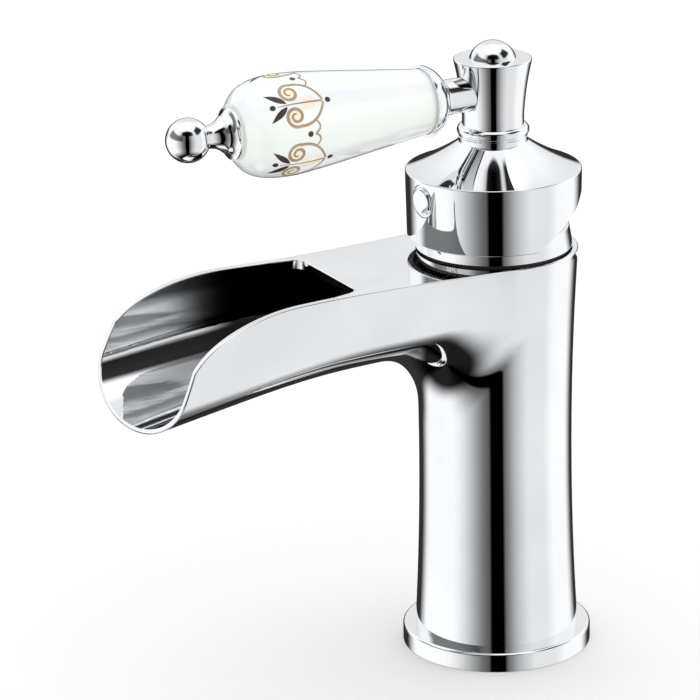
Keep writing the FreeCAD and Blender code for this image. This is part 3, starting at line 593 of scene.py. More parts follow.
def bored(skin, edge, side, height, depth):
    """The wall of a hole from its edge to a depth along its axis; gives the edge at that depth."""
    axis = np.array((math.cos(side), math.sin(side), 0.0))
    along = edge @ axis
    inward = unit(axis * along[:, None] + UP * height - edge)
    end = edge + axis * (depth - along)[:, None]
    skin.grid(np.stack([edge, end]), np.stack([inward, inward]), closed=True)
    return end


# Counts of columns, slices, points and rows

HALF_COLUMNS = 80
STRIP_COLUMNS = 4
COLUMN_COUNT = 26
REAR_COUNT = 18
ROUND_COUNT = 26
SHOULDER_COUNT = 24
LEVEL_COUNT = 22
COVERED_COUNT = 12
OPEN_COUNT = 9
LEANING_COUNT = 44
HOLE_POINTS = 48
BORE_ROWS = 24
DRUM_ROWS = 40
DRUM_BORE_ROWS = 36


# Search for the body's surface: halvings of a ray, lengths in millimetres and values near zero

HALVINGS = 36
NORMAL_STEP = 0.02
RAY_REACH = 60.0
SHORTEST_RAY = 30.0
TINY = 1e-6
LEAST = 1e-9


# Rounded edges and a thin lip, in the look alone: lengths in millimetres, the thinning as a share

INNER_ROUNDING = 0.4
LIP_START = 80.0
LIP_LENGTH = 40.0
LIP_THINNING = 0.45


# Blends that stand for the fillets of the spout's root, and its rounded rear, in millimetres

SPOUT_END = 20.0
ROOT_BLEND = 22.0
BLEND_BACK = 4.0
BLEND_FADE = 32.0
SIDE_BLEND = 4.0
SIDE_BACK = 6.0
SIDE_FADE = 14.0
ROOT_CENTRE = (-42.4, 73.7)


# Sizes of the tap in millimetres and its angles, as its frame has them

COLUMN_PROFILE = ((23.4, 5.5), (21.75, 62.0), (23.65, 118.6))
FLANGE_TOP = 5.5
TOP_HEIGHT = 118.6
BLANK_TOP = 119.6
SPOUT_REACHES = (0.0, 19.6, 40.4, 60.1, 93.6, 122.4)
SPOUT_HALF_WIDTHS = (22.55, 22.55, 22.55, 22.97, 25.95, 27.25)
SPOUT_TUCKS = (0.09, 0.96, 2.2, 2.9, 3.1, 6.67)
SPOUT_CENTRES = (106.5, 106.19, 105.65, 105.04, 101.5, 97.1)
SPOUT_DEPTH = 12.4
SPOUT_WALL = 2.0
SCOOP_START = 72.04
SCOOP_LENGTH = 37.0
SCOOP_DROP = 19.0
SCOOP_END = math.radians(23.0)
MOUTH_LEAN = math.radians(24.2)
TROUGH_BACK = 38.0
OPENING_BACK = 52.4
OPENING_HALF_WIDTH = 16.7
OPENING_CORNER = 4.0
OPENING_FRONT = 60.7
TOP_PLATE = 2.6
HOSE_SPACE_RADIUS = 17.75
HOSE_SPACE_TOP = 58.0
INLETS = ((-8.5, 4.0), (8.5, 4.0))
INLET_RADIUS = 4.45
INLET_TOP = 70.0
CHANNEL_RADIUS = 3.2
STUD_PLACE = (0.0, -9.5)
STUD_RADIUS = 3.4
STUD_TOP = 74.0
CARTRIDGE_RADIUS = 17.6
CARTRIDGE_SEAT = 92.08
THREAD_RADIUS = 18.9
THREAD_FOOT = 115.2
UPSTAND_RADIUS = 20.3
UPSTAND_TOP = 123.2
OUTLET_RADIUS = 5.0
OUTLET_HEIGHT = 104.0
FRONT = -math.pi / 2
INDEX_SIDE = FRONT + math.radians(6.5)
INDEX_HEIGHT = 135.8
LEVER_HEIGHT = 163.6
LEVER_DROOP = math.radians(0.4)
HEAD_FOOT = 122.6
HEAD_RELIEF = math.radians(29.5)


# Shape of the body

half_width = natural_curve(SPOUT_REACHES, SPOUT_HALF_WIDTHS)
tuck_in = natural_curve(SPOUT_REACHES, SPOUT_TUCKS)
centre_height = natural_curve(SPOUT_REACHES, SPOUT_CENTRES)
column_places = bow(*COLUMN_PROFILE, COLUMN_STEPS)[0]


def column_gap(points):
    """How far points lie outside the column."""
    radius = np.interp(points[..., 2], column_places[:, 1], column_places[:, 0])
    return np.hypot(points[..., 0], points[..., 1]) - radius


def spout_terms(points, inset):
    """How far points lie outside the spout, and how much its side faces sideways there."""
    reach = np.maximum(-points[..., 1], 0)
    thinned = np.clip((reach - LIP_START) / LIP_LENGTH, 0, 1)
    width, depth = half_width(reach) - inset, SPOUT_DEPTH - inset * (1 - LIP_THINNING * thinned)
    beyond = np.maximum(points[..., 1], 0)
    aside = np.hypot(points[..., 0], width * beyond / SPOUT_END)
    rise = points[..., 2] - centre_height(reach)
    room = BLANK_TOP - centre_height(reach)
    side = aside - (width - tuck_in(reach) * (rise / room) ** 2)
    side_facing = 1 / np.hypot(1, 2 * tuck_in(reach) * rise / room ** 2)
    oval = np.maximum(np.hypot(aside / width, rise / depth), TINY)
    slope = np.maximum(np.hypot(aside / width ** 2, rise / depth ** 2), LEAST)
    under = (oval - 1) * oval / slope
    facing = aside / width ** 2 / slope
    above = rise > 0
    return np.where(above, side, under), np.where(above, side_facing, facing)


def eased(share):
    """Rises smoothly from 0 to 1."""
    share = np.clip(share, 0, 1)
    return share ** 3 * (10 - 15 * share + 6 * share ** 2)


def body_gap(points):
    """How far points lie outside the column and spout, blended where they meet at an angle."""
    column = column_gap(points)
    spout, facing = spout_terms(points, 0.0)
    radius = np.maximum(np.hypot(points[..., 0], points[..., 1]), TINY)
    ahead = eased((BLEND_BACK - points[..., 1]) / BLEND_FADE)
    beside = SIDE_BLEND * eased((SIDE_BACK - points[..., 1]) / SIDE_FADE)
    blend = ROOT_BLEND * ahead * (1 - facing * np.abs(points[..., 0]) / radius) + beside + TINY
    overlap = np.maximum(blend - np.abs(column - spout), 0)
    return np.minimum(column, spout) - overlap ** 2 / (4 * blend)


def hollow_gap(points):
    """How far points lie outside the spout's hollow."""
    return spout_terms(points, SPOUT_WALL)[0]


def steepest(gap, points):
    """The unit normals of a surface at points on it."""
    slopes = [gap(points + offset) - gap(points - offset) for offset in np.eye(3) * NORMAL_STEP]
    return unit(np.stack(slopes, axis=-1))


def leaving(gap, origins, ways, reach):
    """The points where rays from inside a surface leave it."""
    ways = np.asarray(ways, float)
    near = np.zeros(np.broadcast_shapes(np.shape(origins), ways.shape)[:-1])
    far = near + reach
    for _ in range(HALVINGS):
        middle = (near + far) / 2
        outside = gap(origins + ways * middle[..., None]) > 0
        far = np.where(outside, middle, far)
        near = np.where(outside, near, middle)
    return origins + ways * far[..., None]


def side_point(gap, y, z):
    """The point of a surface to the right of a place in the middle plane."""
    return leaving(gap, np.array((0.0, y, z)), np.array((1.0, 0.0, 0.0)), RAY_REACH)


class Section:
    """A slice across the spout or column: its middle, its upward way and where it is cut above."""

    def __init__(self, middle, up, top=None, cut=None, reach=RAY_REACH):
        self.middle = np.array((0.0, *middle))
        self.up = np.array((0.0, *up))
        self.top = top
        self.cut = None if cut is None else np.array((0.0, *cut))
        self.reach = reach

    def edge(self, gap, side):
        """The point on the cut and the surface's normal there, outwards or inwards."""
        place = side_point(gap, *self.top)
        return place, steepest(gap, place) * side

    def start(self, place):
        """The angle from the upward way to a point."""
        return math.atan2(place[0], (place - self.middle) @ self.up)

    def points(self, gap, angles):
        angles = np.asarray(angles)[:, None]
        ways = np.sin(angles) * np.array((1.0, 0.0, 0.0)) + np.cos(angles) * self.up
        return leaving(gap, self.middle, ways, self.reach)


def scoop_place(angle):
    """A place on the scooped edge and the normal of the cut there."""
    y = -SCOOP_START - SCOOP_LENGTH * math.cos(angle)
    z = TOP_HEIGHT - SCOOP_DROP * (1 - math.sin(angle))
    normal = unit((-math.cos(angle) / SCOOP_LENGTH, math.sin(angle) / SCOOP_DROP))
    return (y, z), normal


MOUTH_NORMAL = (-math.cos(MOUTH_LEAN), math.sin(MOUTH_LEAN))
LEVEL = (0.0, 1.0)


def level_section(y):
    """An upright slice of the spout's flat part."""
    return Section((y, centre_height(-y)), LEVEL, (y, TOP_HEIGHT), LEVEL)


def spout_sections():
    """Upright slices of the spout's flat part, then slices that lean more and more to the mouth."""
    level = [level_section(y) for y in np.linspace(ROOT_CENTRE[0], -SCOOP_START, LEVEL_COUNT)]
    leaning = []
    for share in np.linspace(0, 1, LEANING_COUNT):
        place, normal = scoop_place(math.pi / 2 + (SCOOP_END - math.pi / 2) * share)
        leaning.append(leaning_section(place, normal, MOUTH_LEAN * share))
    corner = unit(leaning[-1].cut[1:] + np.array(MOUTH_NORMAL))
    leaning[-1].cut = np.array((0.0, *corner))
    return level, leaning


def leaning_section(place, normal, lean):
    up = np.array((math.sin(lean), math.cos(lean)))
    drop = (place[1] - centre_height(-place[0])) / math.cos(lean)
    return Section(np.array(place) - up * drop, up, place, normal)


def column_sections():
    """Level slices of the column, then slices that turn about the root's blend."""
    turn_y, turn_z = ROOT_CENTRE
    heights = np.linspace(FLANGE_TOP, turn_z, COLUMN_COUNT)[:-1]
    sections = [Section((0.0, z), (1.0, 0.0)) for z in heights]
    radius = COLUMN_PROFILE[2][0]
    rear = math.atan2(TOP_HEIGHT - edge_rounding() - turn_z, radius - turn_y)
    for angle in np.linspace(0, rear, REAR_COUNT)[:-1]:
        sections.append(turned_section(angle))
    edges = [radius * math.cos(angle) for angle in np.linspace(0, math.pi / 2, ROUND_COUNT)]
    edges += list(np.linspace(0, turn_y, SHOULDER_COUNT))[1:-1]
    for y in edges:
        angle = math.atan2(TOP_HEIGHT - edge_rounding() - turn_z, y - turn_y)
        sections.append(turned_section(angle, (y, TOP_HEIGHT)))
    return sections


def turned_section(angle, top=None):
    turn_y, turn_z = ROOT_CENTRE
    up = np.array((math.cos(angle), math.sin(angle)))
    share = angle / (math.pi / 2)
    reach = -turn_y * (1 - share) + (centre_height(-turn_y) - turn_z) * share
    cut = None if top is None else LEVEL
    return Section(np.array(ROOT_CENTRE) + up * reach, up, top, cut, reach=max(reach, SHORTEST_RAY))


def half_rows(gap, sections, edges, side):
    """Half slices of a surface from their upper edge, or from the rear, to the middle below."""
    rows = []
    for section, edge in zip(sections, edges):
        start = 0.0 if edge is None else section.start(edge)
        angles = start + (math.pi - start) * np.linspace(0, 1, HALF_COLUMNS + 1)
        row = section.points(gap, angles)
        if edge is not None:
            row[0] = edge
        rows.append(row)
    points = np.stack(rows)
    return points, steepest(gap, points) * side


def cut_edges(gap, sections, side, rounding):
    """The roundings along the cut of a surface, one column of points for each slice."""
    places, normals = zip(*[section.edge(gap, side) for section in sections])
    cuts = np.stack([section.cut for section in sections])
    return rounded(np.stack(places), np.stack(normals), cuts, rounding)


def mouth_edges(gap, section, angles, side, rounding, corner):
    """The rounding along the mouth, whose first column is the corner of the cut."""
    places = section.points(gap, angles)
    normals = steepest(gap, places) * side
    points, outward = rounded(places, normals, np.array((0.0, *MOUTH_NORMAL)), rounding)
    points[:, 0], outward[:, 0] = corner
    return points, outward


def body_skin():
    """The cast body: column, spout, trough and the bores inside."""
    skin = Skin()
    level, leaning = spout_sections()
    column = column_sections()
    whole = [section for section in column if section.top is None]
    cut = [section for section in column if section.top is not None] + level[:-1] + leaning
    rim = cut_edges(body_gap, cut, 1, edge_rounding())
    inner = inner_trough(skin, leaning)
    edges = [None] * len(whole) + list(rim[0][0])
    points, normals = half_rows(body_gap, whole + cut, edges, 1)
    last = leaning[-1]
    angles = np.linspace(last.start(points[-1, 0]), math.pi, HALF_COLUMNS + 1)
    corner = rim[0][:, -1], rim[1][:, -1]
    mouth = mouth_edges(body_gap, last, angles, 1, edge_rounding(), corner)
    points[-1], normals[-1] = mouth[0][0], mouth[1][0]
    skin.halves(points, normals)
    skin.halves(*rim)
    skin.halves(*mouth)
    cuts = [part.cut for part in leaning]
    band_between(skin, rim[0][-1][-len(leaning):], inner["rim"][-len(leaning):], cuts)
    facing = [np.array((0.0, *MOUTH_NORMAL))] * len(angles)
    band_between(skin, mouth[0][-1], inner["mouth"], facing)
    top_plate(skin, rim[0][-1][:len(cut) - len(leaning) + 1], inner)
    foot_and_bores(skin)
    return skin


def band_between(skin, outer, inner, normals):
    """The cut surface of the wall between an outer and an inner edge."""
    skin.halves(np.stack([outer, inner]), np.stack([normals, normals]))


def inner_trough(skin, leaning):
    """The hollow of the spout below its plate and up to its open edge; gives the open edges."""
    covered = [level_section(y) for y in np.linspace(-TROUGH_BACK, -OPENING_FRONT, COVERED_COUNT)]
    opened = [covered[-1]]
    for y in np.linspace(-OPENING_FRONT, -SCOOP_START, OPEN_COUNT)[1:-1]:
        opened.append(level_section(y))
    opened += leaning
    rim = cut_edges(hollow_gap, opened, -1, INNER_ROUNDING)
    sections = covered[:-1] + opened
    lower = []
    for section in sections:
        place = np.array(section.top) - section.up[1:] * TOP_PLATE
        lower.append(side_point(hollow_gap, *place))
    points, normals = [], []
    for number, section in enumerate(sections):
        start = section.start(lower[number])
        main = start + (math.pi - start) * np.linspace(0, 1, HALF_COLUMNS - STRIP_COLUMNS + 1)
        row = section.points(hollow_gap, main)
        row[0] = lower[number]
        points.append(row)
    points = np.stack(points)
    strip = []
    for number, section in enumerate(opened):
        edge, foot = rim[0][0][number], lower[number + len(covered) - 1]
        angles = np.linspace(section.start(edge), section.start(foot), STRIP_COLUMNS + 1)
        row = section.points(hollow_gap, angles)
        row[0], row[-1] = edge, foot
        strip.append(row)
    strip = np.stack(strip)
    last = leaning[-1]
    whole = np.concatenate([strip[-1], points[-1][1:]])
    angles = np.array([last.start(place) for place in whole])
    corner = rim[0][:, -1], rim[1][:, -1]
    mouth = mouth_edges(hollow_gap, last, angles, -1, INNER_ROUNDING, corner)
    strip[-1], points[-1] = mouth[0][0][:STRIP_COLUMNS + 1], mouth[0][0][STRIP_COLUMNS:]
    skin.halves(*rim)
    skin.halves(*mouth)
    opening = opening_wall(skin, strip[0], rim[0][:, 0])
    skin.finish = WATERWAY
    skin.halves(points, -steepest(hollow_gap, points))
    skin.halves(strip, -steepest(hollow_gap, strip))
    skin.finish = DULL
    plate_underside(skin, points[:len(covered), 0], opening[0])
    trough_back(skin, points[0])
    skin.finish = BRIGHT
    return {"rim": rim[0][-1], "mouth": mouth[0][-1], "opening": opening[1]}


def opening_wall(skin, strip, arc):
    """The upright wall of the opening behind the trough; gives its lower and upper edge."""
    corner = (OPENING_HALF_WIDTH, -OPENING_BACK, OPENING_CORNER)
    runs = outline((strip[0, 0], -OPENING_FRONT), corner, (0.0, -OPENING_BACK))
    lower, upper = [], []
    for places, outward in runs:
        normals = np.stack([-outward[:, 0], -outward[:, 1], 0 * outward[:, 0]], axis=-1)
        edge = np.stack([places[:, 0], places[:, 1], np.full(len(places), TOP_HEIGHT)], axis=-1)
        points, bent = rounded(edge, normals, UP, INNER_ROUNDING)
        wall = np.stack([points[0] * (1, 1, 0) + UP * height for height in strip[::-1, 2]])
        wall[-1] = points[0]
        if not lower:
            wall[:, 0], points[:, 0] = strip[::-1], arc
        skin.halves(wall, np.broadcast_to(normals, wall.shape))
        skin.halves(points, bent)
        lower.extend(wall[0] if not lower else wall[0][1:])
        upper.extend(points[-1] if not upper else points[-1][1:])
    return np.stack(lower), np.stack(upper)


def mirrored_loop(half):
    """A line on the right, from front to middle, and on along its mirror image."""
    other = half[::-1] * MIRROR
    return np.concatenate([half, other[1:] if abs(half[-1][0]) < WELD else other])


def plate_underside(skin, sides, opening):
    """The underside of the flat top behind the opening."""
    right = np.concatenate([sides, opening[1:]])
    skin.flat(-UP, mirrored_loop(right))


def trough_back(skin, row):
    """The rear wall of the trough with the outlet, and the outlet's way to the cartridge."""
    turn = full_turn(HOLE_POINTS)
    across, rise = np.cos(turn), np.sin(turn)
    circle = np.stack([across, 0 * turn, rise], axis=-1)
    front = circle * OUTLET_RADIUS + (0, -TROUGH_BACK, OUTLET_HEIGHT)
    skin.flat((0, -1, 0), mirrored_loop(row), front)
    bore_front = -np.sqrt(CARTRIDGE_RADIUS ** 2 - (across * OUTLET_RADIUS) ** 2)
    rear = np.stack([front[:, 0], bore_front, front[:, 2]], axis=-1)
    skin.grid(np.stack([front, rear]), np.stack([-circle, -circle]), closed=True)


def ring_points(radius, height, place=(0.0, 0.0), count=SEGMENTS):
    turn = full_turn(count)
    x, y = place[0] + radius * np.cos(turn), place[1] + radius * np.sin(turn)
    return np.stack([x, y, np.full(count, height)], axis=-1)


def top_plate(skin, outer, inner):
    """The flat top around the upstand, from the rear to the start of the scoop."""
    open_count = len(inner["rim"]) - LEANING_COUNT + 1
    edge = inner["rim"][:open_count][::-1]
    right = np.concatenate([outer[1:][::-1], outer[:1]])
    left = outer[1:] * MIRROR
    back = np.concatenate([edge * MIRROR, inner["opening"][1:] * MIRROR])
    front = np.concatenate([inner["opening"][1:-1][::-1], edge[::-1]])
    loop = np.concatenate([right, left, back, front])
    skin.flat(UP, loop, ring_points(UPSTAND_RADIUS, TOP_HEIGHT))


def foot_and_bores(skin):
    """The foot, the space for the hoses with its threaded holes, and the seat of the cartridge."""
    foot_radius = COLUMN_PROFILE[0][0]
    skin.finish = DULL
    skin.flat(-UP, foot_ring(foot_radius), ring_points(HOSE_SPACE_RADIUS, FLANGE_TOP))
    skin.turned(outline((HOSE_SPACE_RADIUS, HOSE_SPACE_TOP), (HOSE_SPACE_RADIUS, FLANGE_TOP)))
    holes = [(place, INLET_RADIUS) for place in INLETS] + [(STUD_PLACE, STUD_RADIUS)]
    mouths = [ring_points(radius, HOSE_SPACE_TOP, place, HOLE_POINTS) for place, radius in holes]
    skin.flat(-UP, ring_points(HOSE_SPACE_RADIUS, HOSE_SPACE_TOP), *mouths)
    for place in INLETS:
        blind_hole(skin, place, INLET_RADIUS, HOSE_SPACE_TOP, INLET_TOP)
        blind_hole(skin, place, CHANNEL_RADIUS, INLET_TOP, CARTRIDGE_SEAT)
        inlet = ring_points(INLET_RADIUS, INLET_TOP, place, HOLE_POINTS)
        channel = ring_points(CHANNEL_RADIUS, INLET_TOP, place, HOLE_POINTS)
        skin.flat(-UP, inlet, channel)
    blind_hole(skin, STUD_PLACE, STUD_RADIUS, HOSE_SPACE_TOP, STUD_TOP)
    skin.flat(-UP, ring_points(STUD_RADIUS, STUD_TOP, STUD_PLACE, HOLE_POINTS))
    channels = [ring_points(CHANNEL_RADIUS, CARTRIDGE_SEAT, place, HOLE_POINTS) for place in INLETS]
    skin.flat(UP, ring_points(CARTRIDGE_RADIUS, CARTRIDGE_SEAT), *channels)
    wall = straight((CARTRIDGE_RADIUS, THREAD_FOOT), (CARTRIDGE_RADIUS, CARTRIDGE_SEAT), BORE_ROWS)
    angles = np.linspace(-2 * math.pi, 0, SEGMENTS + 1)
    pierced(skin, wall, angles, FRONT, OUTLET_HEIGHT, OUTLET_RADIUS)
    skin.turned(outline(
        (UPSTAND_RADIUS, TOP_HEIGHT), (UPSTAND_RADIUS, UPSTAND_TOP), (THREAD_RADIUS, UPSTAND_TOP),
        (THREAD_RADIUS, THREAD_FOOT), (CARTRIDGE_RADIUS, THREAD_FOOT),
    ))


def blind_hole(skin, place, radius, foot, top):
    ends = np.stack([ring_points(radius, height, place, HOLE_POINTS) for height in (foot, top)])
    inward = unit(np.array((*place, 0.0)) - ends * (1, 1, 0))
    skin.grid(ends, inward, closed=True)


def foot_ring(radius):
    """The column's lower edge, with the points of its first slice."""
    turn = np.linspace(0, math.pi, HALF_COLUMNS + 1)
    level = np.full(len(turn), FLANGE_TOP)
    half = np.stack([radius * np.sin(turn), radius * np.cos(turn), level], axis=-1)
    return np.concatenate([half, half[1:-1][::-1] * MIRROR])


# Turned pieces: radius and height in millimetres, with a third number where a corner is rounded

FLANGE_OUTLINE = (
    (16.15, 0.0), (19.9, 0.0), (19.9, 2.0), (24.1, 2.0), (24.1, 0.0), (27.0, 0.0, 0.2),
    (27.0, 5.5, 0.9), (17.65, 5.5), (17.65, 7.5, 0.2), (16.15, 7.5, 0.2),
)
TRIM_JOINT = ((20.4, 118.6), (21.2, 118.6), (21.2, 119.25), (22.04, 119.25))
TRIM_OUTLINE = (
    (22.04, 119.25), (21.1, 125.0, 0.5), (12.68, 125.0, 0.3), (12.68, 123.3), (20.4, 123.3), (20.4, 118.6),
)
HEAD_WALL = ((24.35, 122.6), (24.7, 141.05))
HEAD_EDGE = (24.568, 141.368)
HEAD_CROWN = ((24.25, 141.5), (16.975, 144.9), (9.7, 149.4))
HEAD_TOP = ((9.7, 149.4), (5.05, 149.4), (5.05, 143.8), (0.0, 143.8))
HEAD_UNDERSIDE = ((8.5, 131.0), (8.5, 146.4), (22.75, 138.5))
HEAD_ROUNDING = 0.3
SOCKET_HALF_WIDTH = 4.05
SOCKET_TOP = 142.0
INDEX_SEAT_RADIUS = 4.7
INDEX_SEAT_DEPTH = 23.55
INDEX_HOLE_RADIUS = 3.8
INDEX_SHANK = ((0.0, 22.75), (3.7, 22.75), (3.7, 23.55), (4.6, 23.55), (4.6, 24.3, 0.2), (4.0, 24.3))
INDEX_BUTTON = ((4.0, 24.3), (3.707, 25.007), (3.0, 25.3))
INDEX_CROWN = ((3.0, 25.3), (1.5, 25.45), (0.0, 25.5))
TURRET_FOOT = ((0.0, 143.9), (5.0, 143.9), (5.0, 149.4), (9.7, 149.4), (9.7, 150.6))
TURRET_COVE = ((9.7, 150.6), (9.35, 151.0), (9.7, 151.4))
TURRET_BEAD = ((9.7, 151.4), (10.1, 152.7), (8.65, 154.0))
TURRET_WAIST = ((8.65, 154.0), (8.65, 156.4))
WAIST_ROWS = 4
TURRET_FLARE = ((8.65, 156.4), (9.425, 164.4), (10.95, 172.4))
TURRET_RIM = ((10.95, 172.4), (10.8, 172.75), (10.45, 172.9))
TURRET_TOP = ((10.45, 172.9), (2.1, 172.9), (2.1, 168.3), (0.0, 168.3))
TURRET_SEAT_RADIUS = 5.0
TURRET_SEAT_DEPTH = 6.5
TURRET_SEAT_HEIGHT = 163.53
ROD_HOLE_RADIUS = 2.6
ROD_HOLE_END = -3.1
BUTTON_SHANK = ((0.0, 168.4), (2.0, 168.4), (2.0, 172.9), (6.6, 172.9))
BUTTON_HEIGHT = 4.8
FERRULE_NECK = ((4.9, 6.5), (4.9, 16.6))
FERRULE_RIM = (10.25, 22.6)
FERRULE_BULGE = 1.1
FERRULE_COVE = 1.5
FERRULE_LIP = (9.25, 22.6)
FERRULE_FLOOR = (7.35, 19.0)
FERRULE_BORE = 2.6
GRIP_SHOULDER = ((7.2, 19.7), (9.1, 22.6))
GRIP_ROUNDING = 0.5
GRIP_PROFILE = (
    (9.1, 22.6), (11.4, 40.84), (13.46, 57.75), (14.0, 66.8), (13.36, 72.85), (11.65, 77.1), (8.0, 80.1),
)
GRIP_BORE = 3.2
BALL_CUP = ((2.55, 80.8), (7.3, 80.8, 0.25), (7.3, 81.5))
BALL_BELL = ((7.3, 81.5), (5.0, 83.6), (3.2, 87.8), (3.2, 88.6))
BALL_HOLLOW = 0.4
BALL_RADIUS = 6.1
BALL_MIDDLE = 93.79
BALL_HOLE = ((0.0, 86.9), (2.55, 86.9), (2.55, 80.8))


# Painted band on the grip, in millimetres around and along it

ORNAMENT_RADIUS = 14.0
LINE_LIFT = 0.05
GROUND_LIFT = 0.025
ORNAMENT_SINK = 0.12
BLOT_RINGS = 12
VOLUTE_MIDDLE = (3.5, 67.6)
VOLUTE_RADIUS = 2.9
VOLUTE_START = math.radians(-20.0)
VOLUTE_TURNS = 1.6
VOLUTE_SHRINK = 0.78
LYRE_FOOT = (0.3, 58.6)
LYRE_BEND = (6.6, 61.0)
LINK_FOOT = (4.9, 62.4)
LINK_DIP = 3.0
STEM_FOOT = (0.0, 58.8)
STEM_END = (0.0, 72.2)
STEM_GAP = np.array((0.5, 1.4))
BERRY_PLACES = ((0.0, 57.0), (0.0, 73.4))
LEAF_FOOT = (0.5, 69.4)
LEAF_TIP = (4.4, 74.6)
LEAF_WIDTH = 1.7
PETAL_TIP = (1.3, 67.6)
PETAL_WIDTH = 1.5


def lying(height, droop=0.0, swing=0.0):
    """The place of a piece that is turned around Z and laid towards the front."""
    lay = Matrix.Rotation(swing, 4, "Z") @ Matrix.Rotation(math.pi / 2 + droop, 4, "X")
    lay = np.array(lay)
    lay[2, 3] = height
    return lay


def along_lever():
    return lying(LEVER_HEIGHT, LEVER_DROOP)


def face_ring(side, height, depth, radius, count=64):
    """A circle around an axis that points to a side, at a depth along it."""
    turn = full_turn(count)[:, None]
    axis = np.array((math.cos(side), math.sin(side), 0.0))
    across = np.array((-math.sin(side), math.cos(side), 0.0))
    return axis * depth + UP * height + radius * (np.cos(turn) * across + np.sin(turn) * UP)


def flange_skin():
    skin = Skin()
    skin.turned(outline(*FLANGE_OUTLINE, closed=True))
    return skin


def trim_skin():
    skin = Skin()
    skin.turned(outline(*TRIM_OUTLINE))
    # The joint groove is real; its dark dull finish is painted shade in the gap below the collar
    skin.finish = DULL
    skin.turned(outline(*TRIM_JOINT))
    return skin


def head_foot_height(radius, angles):
    """The lower edge of the drum, which slopes up behind so that the head can rock back."""
    return HEAD_FOOT + np.maximum(radius * np.sin(angles), 0) * math.tan(HEAD_RELIEF)


def head_skin():
    """Hollow drum with a coned shoulder, the plug's seat and the boss with its square socket."""
    skin = Skin()
    front = np.linspace(-math.pi, 0, SEGMENTS // 2 + 1)
    rear = np.linspace(0, math.pi, SEGMENTS // 2 + 1)
    angles = np.concatenate([front, rear[1:]])
    foot_radius = HEAD_WALL[0][0]
    rim = np.stack([foot_radius * np.cos(angles), foot_radius * np.sin(angles),
                    head_foot_height(foot_radius, angles)], axis=-1)
    wall_run = straight(*HEAD_WALL)
    wall_normals = spun(wall_run[1][:1], angles)[0]
    slope = np.array((0.0, math.sin(HEAD_RELIEF), -math.cos(HEAD_RELIEF)))
    foot_normals = np.where(np.sin(angles)[:, None] > LEAST, slope, -UP)
    edge, bent = rounded(rim, wall_normals, foot_normals, HEAD_ROUNDING)
    skin.grid(edge, bent)
    bore_radius = HEAD_UNDERSIDE[-1][0]
    bore_foot = np.stack([bore_radius * np.cos(angles), bore_radius * np.sin(angles),
                          head_foot_height(bore_radius, angles)], axis=-1)
    contact = edge[0, 1]
    front_wall = straight((math.hypot(*contact[:2]), contact[2]), HEAD_WALL[1], DRUM_ROWS)
    seat = pierced(skin, front_wall, front, INDEX_SIDE, INDEX_HEIGHT, INDEX_SEAT_RADIUS)
    seat_floor = bored(skin, seat, INDEX_SIDE, INDEX_HEIGHT, INDEX_SEAT_DEPTH)
    rear_edge = edge[0, len(front) - 1:]
    skin.grid(*rising(rear_edge, HEAD_WALL, rear))
    edge_run = bow(HEAD_WALL[1], HEAD_EDGE, HEAD_CROWN[0], EDGE_STEPS)
    skin.turned([edge_run, bow(*HEAD_CROWN, CROWN_STEPS)])
    skin.turned(outline(*HEAD_TOP))
    skin.finish = DULL
    skin.grid(np.stack([edge[-1], bore_foot]), np.stack([foot_normals, foot_normals]))
    bore = straight((bore_radius, HEAD_UNDERSIDE[-1][1]), (bore_radius, HEAD_FOOT), DRUM_BORE_ROWS)
    hole = pierced(skin, bore, front, INDEX_SIDE, INDEX_HEIGHT, INDEX_HOLE_RADIUS)
    hole_end = bored(skin, hole, INDEX_SIDE, INDEX_HEIGHT, INDEX_SEAT_DEPTH)
    skin.flat((math.cos(INDEX_SIDE), math.sin(INDEX_SIDE), 0.0), seat_floor, hole_end)
    inner_wall = ((bore_radius, HEAD_FOOT), (bore_radius, HEAD_UNDERSIDE[-1][1]))
    points, normals = rising(bore_foot[len(front) - 1:], inner_wall, rear)
    skin.grid(points, -normals)
    skin.turned(outline(*HEAD_UNDERSIDE))
    socket(skin)
    return skin


def rising(foot, wall, angles, rows=10):
    """A wall from an uneven foot up to the level end of a straight profile."""
    (low_radius, low), (high_radius, high) = wall
    heights = foot[:, 2] + (high - foot[:, 2]) * np.linspace(0, 1, rows)[:, None]
    radius = low_radius + (high_radius - low_radius) * (heights - low) / (high - low)
    points = np.stack([radius * np.cos(angles), radius * np.sin(angles), heights], axis=-1)
    points[0] = foot
    lean = straight(*wall)[1][:1]
    return points, np.broadcast_to(spun(lean, angles)[0], points.shape)


def socket(skin):
    """The underside of the boss and the square hole for the stem."""
    swing = INDEX_SIDE - FRONT
    foot = HEAD_UNDERSIDE[0][1]
    corners = []
    for quarter in range(4):
        angle = swing + math.pi / 4 + quarter * math.pi / 2
        corners.append((math.cos(angle), math.sin(angle)))
    corners = np.array(corners) * SOCKET_HALF_WIDTH * math.sqrt(2)
    lower = np.column_stack([corners, np.full(4, foot)])
    upper = np.column_stack([corners, np.full(4, SOCKET_TOP)])
    skin.flat(-UP, ring_points(HEAD_UNDERSIDE[0][0], foot), lower)
    skin.flat(-UP, upper)
    for number in range(4):
        pair = [number, (number + 1) % 4]
        inward = -unit(lower[pair].mean(axis=0) * (1, 1, 0))
        skin.grid(np.stack([lower[pair], upper[pair]]), np.broadcast_to(inward, (2, 2, 3)))


def plug_skin():
    skin = Skin()
    lay = lying(INDEX_HEIGHT, swing=INDEX_SIDE - FRONT)
    dome = [bow(*INDEX_BUTTON, BEND_STEPS), bow(*INDEX_CROWN, EDGE_STEPS)]
    skin.turned(outline(*INDEX_SHANK) + dome, lay)
    return skin


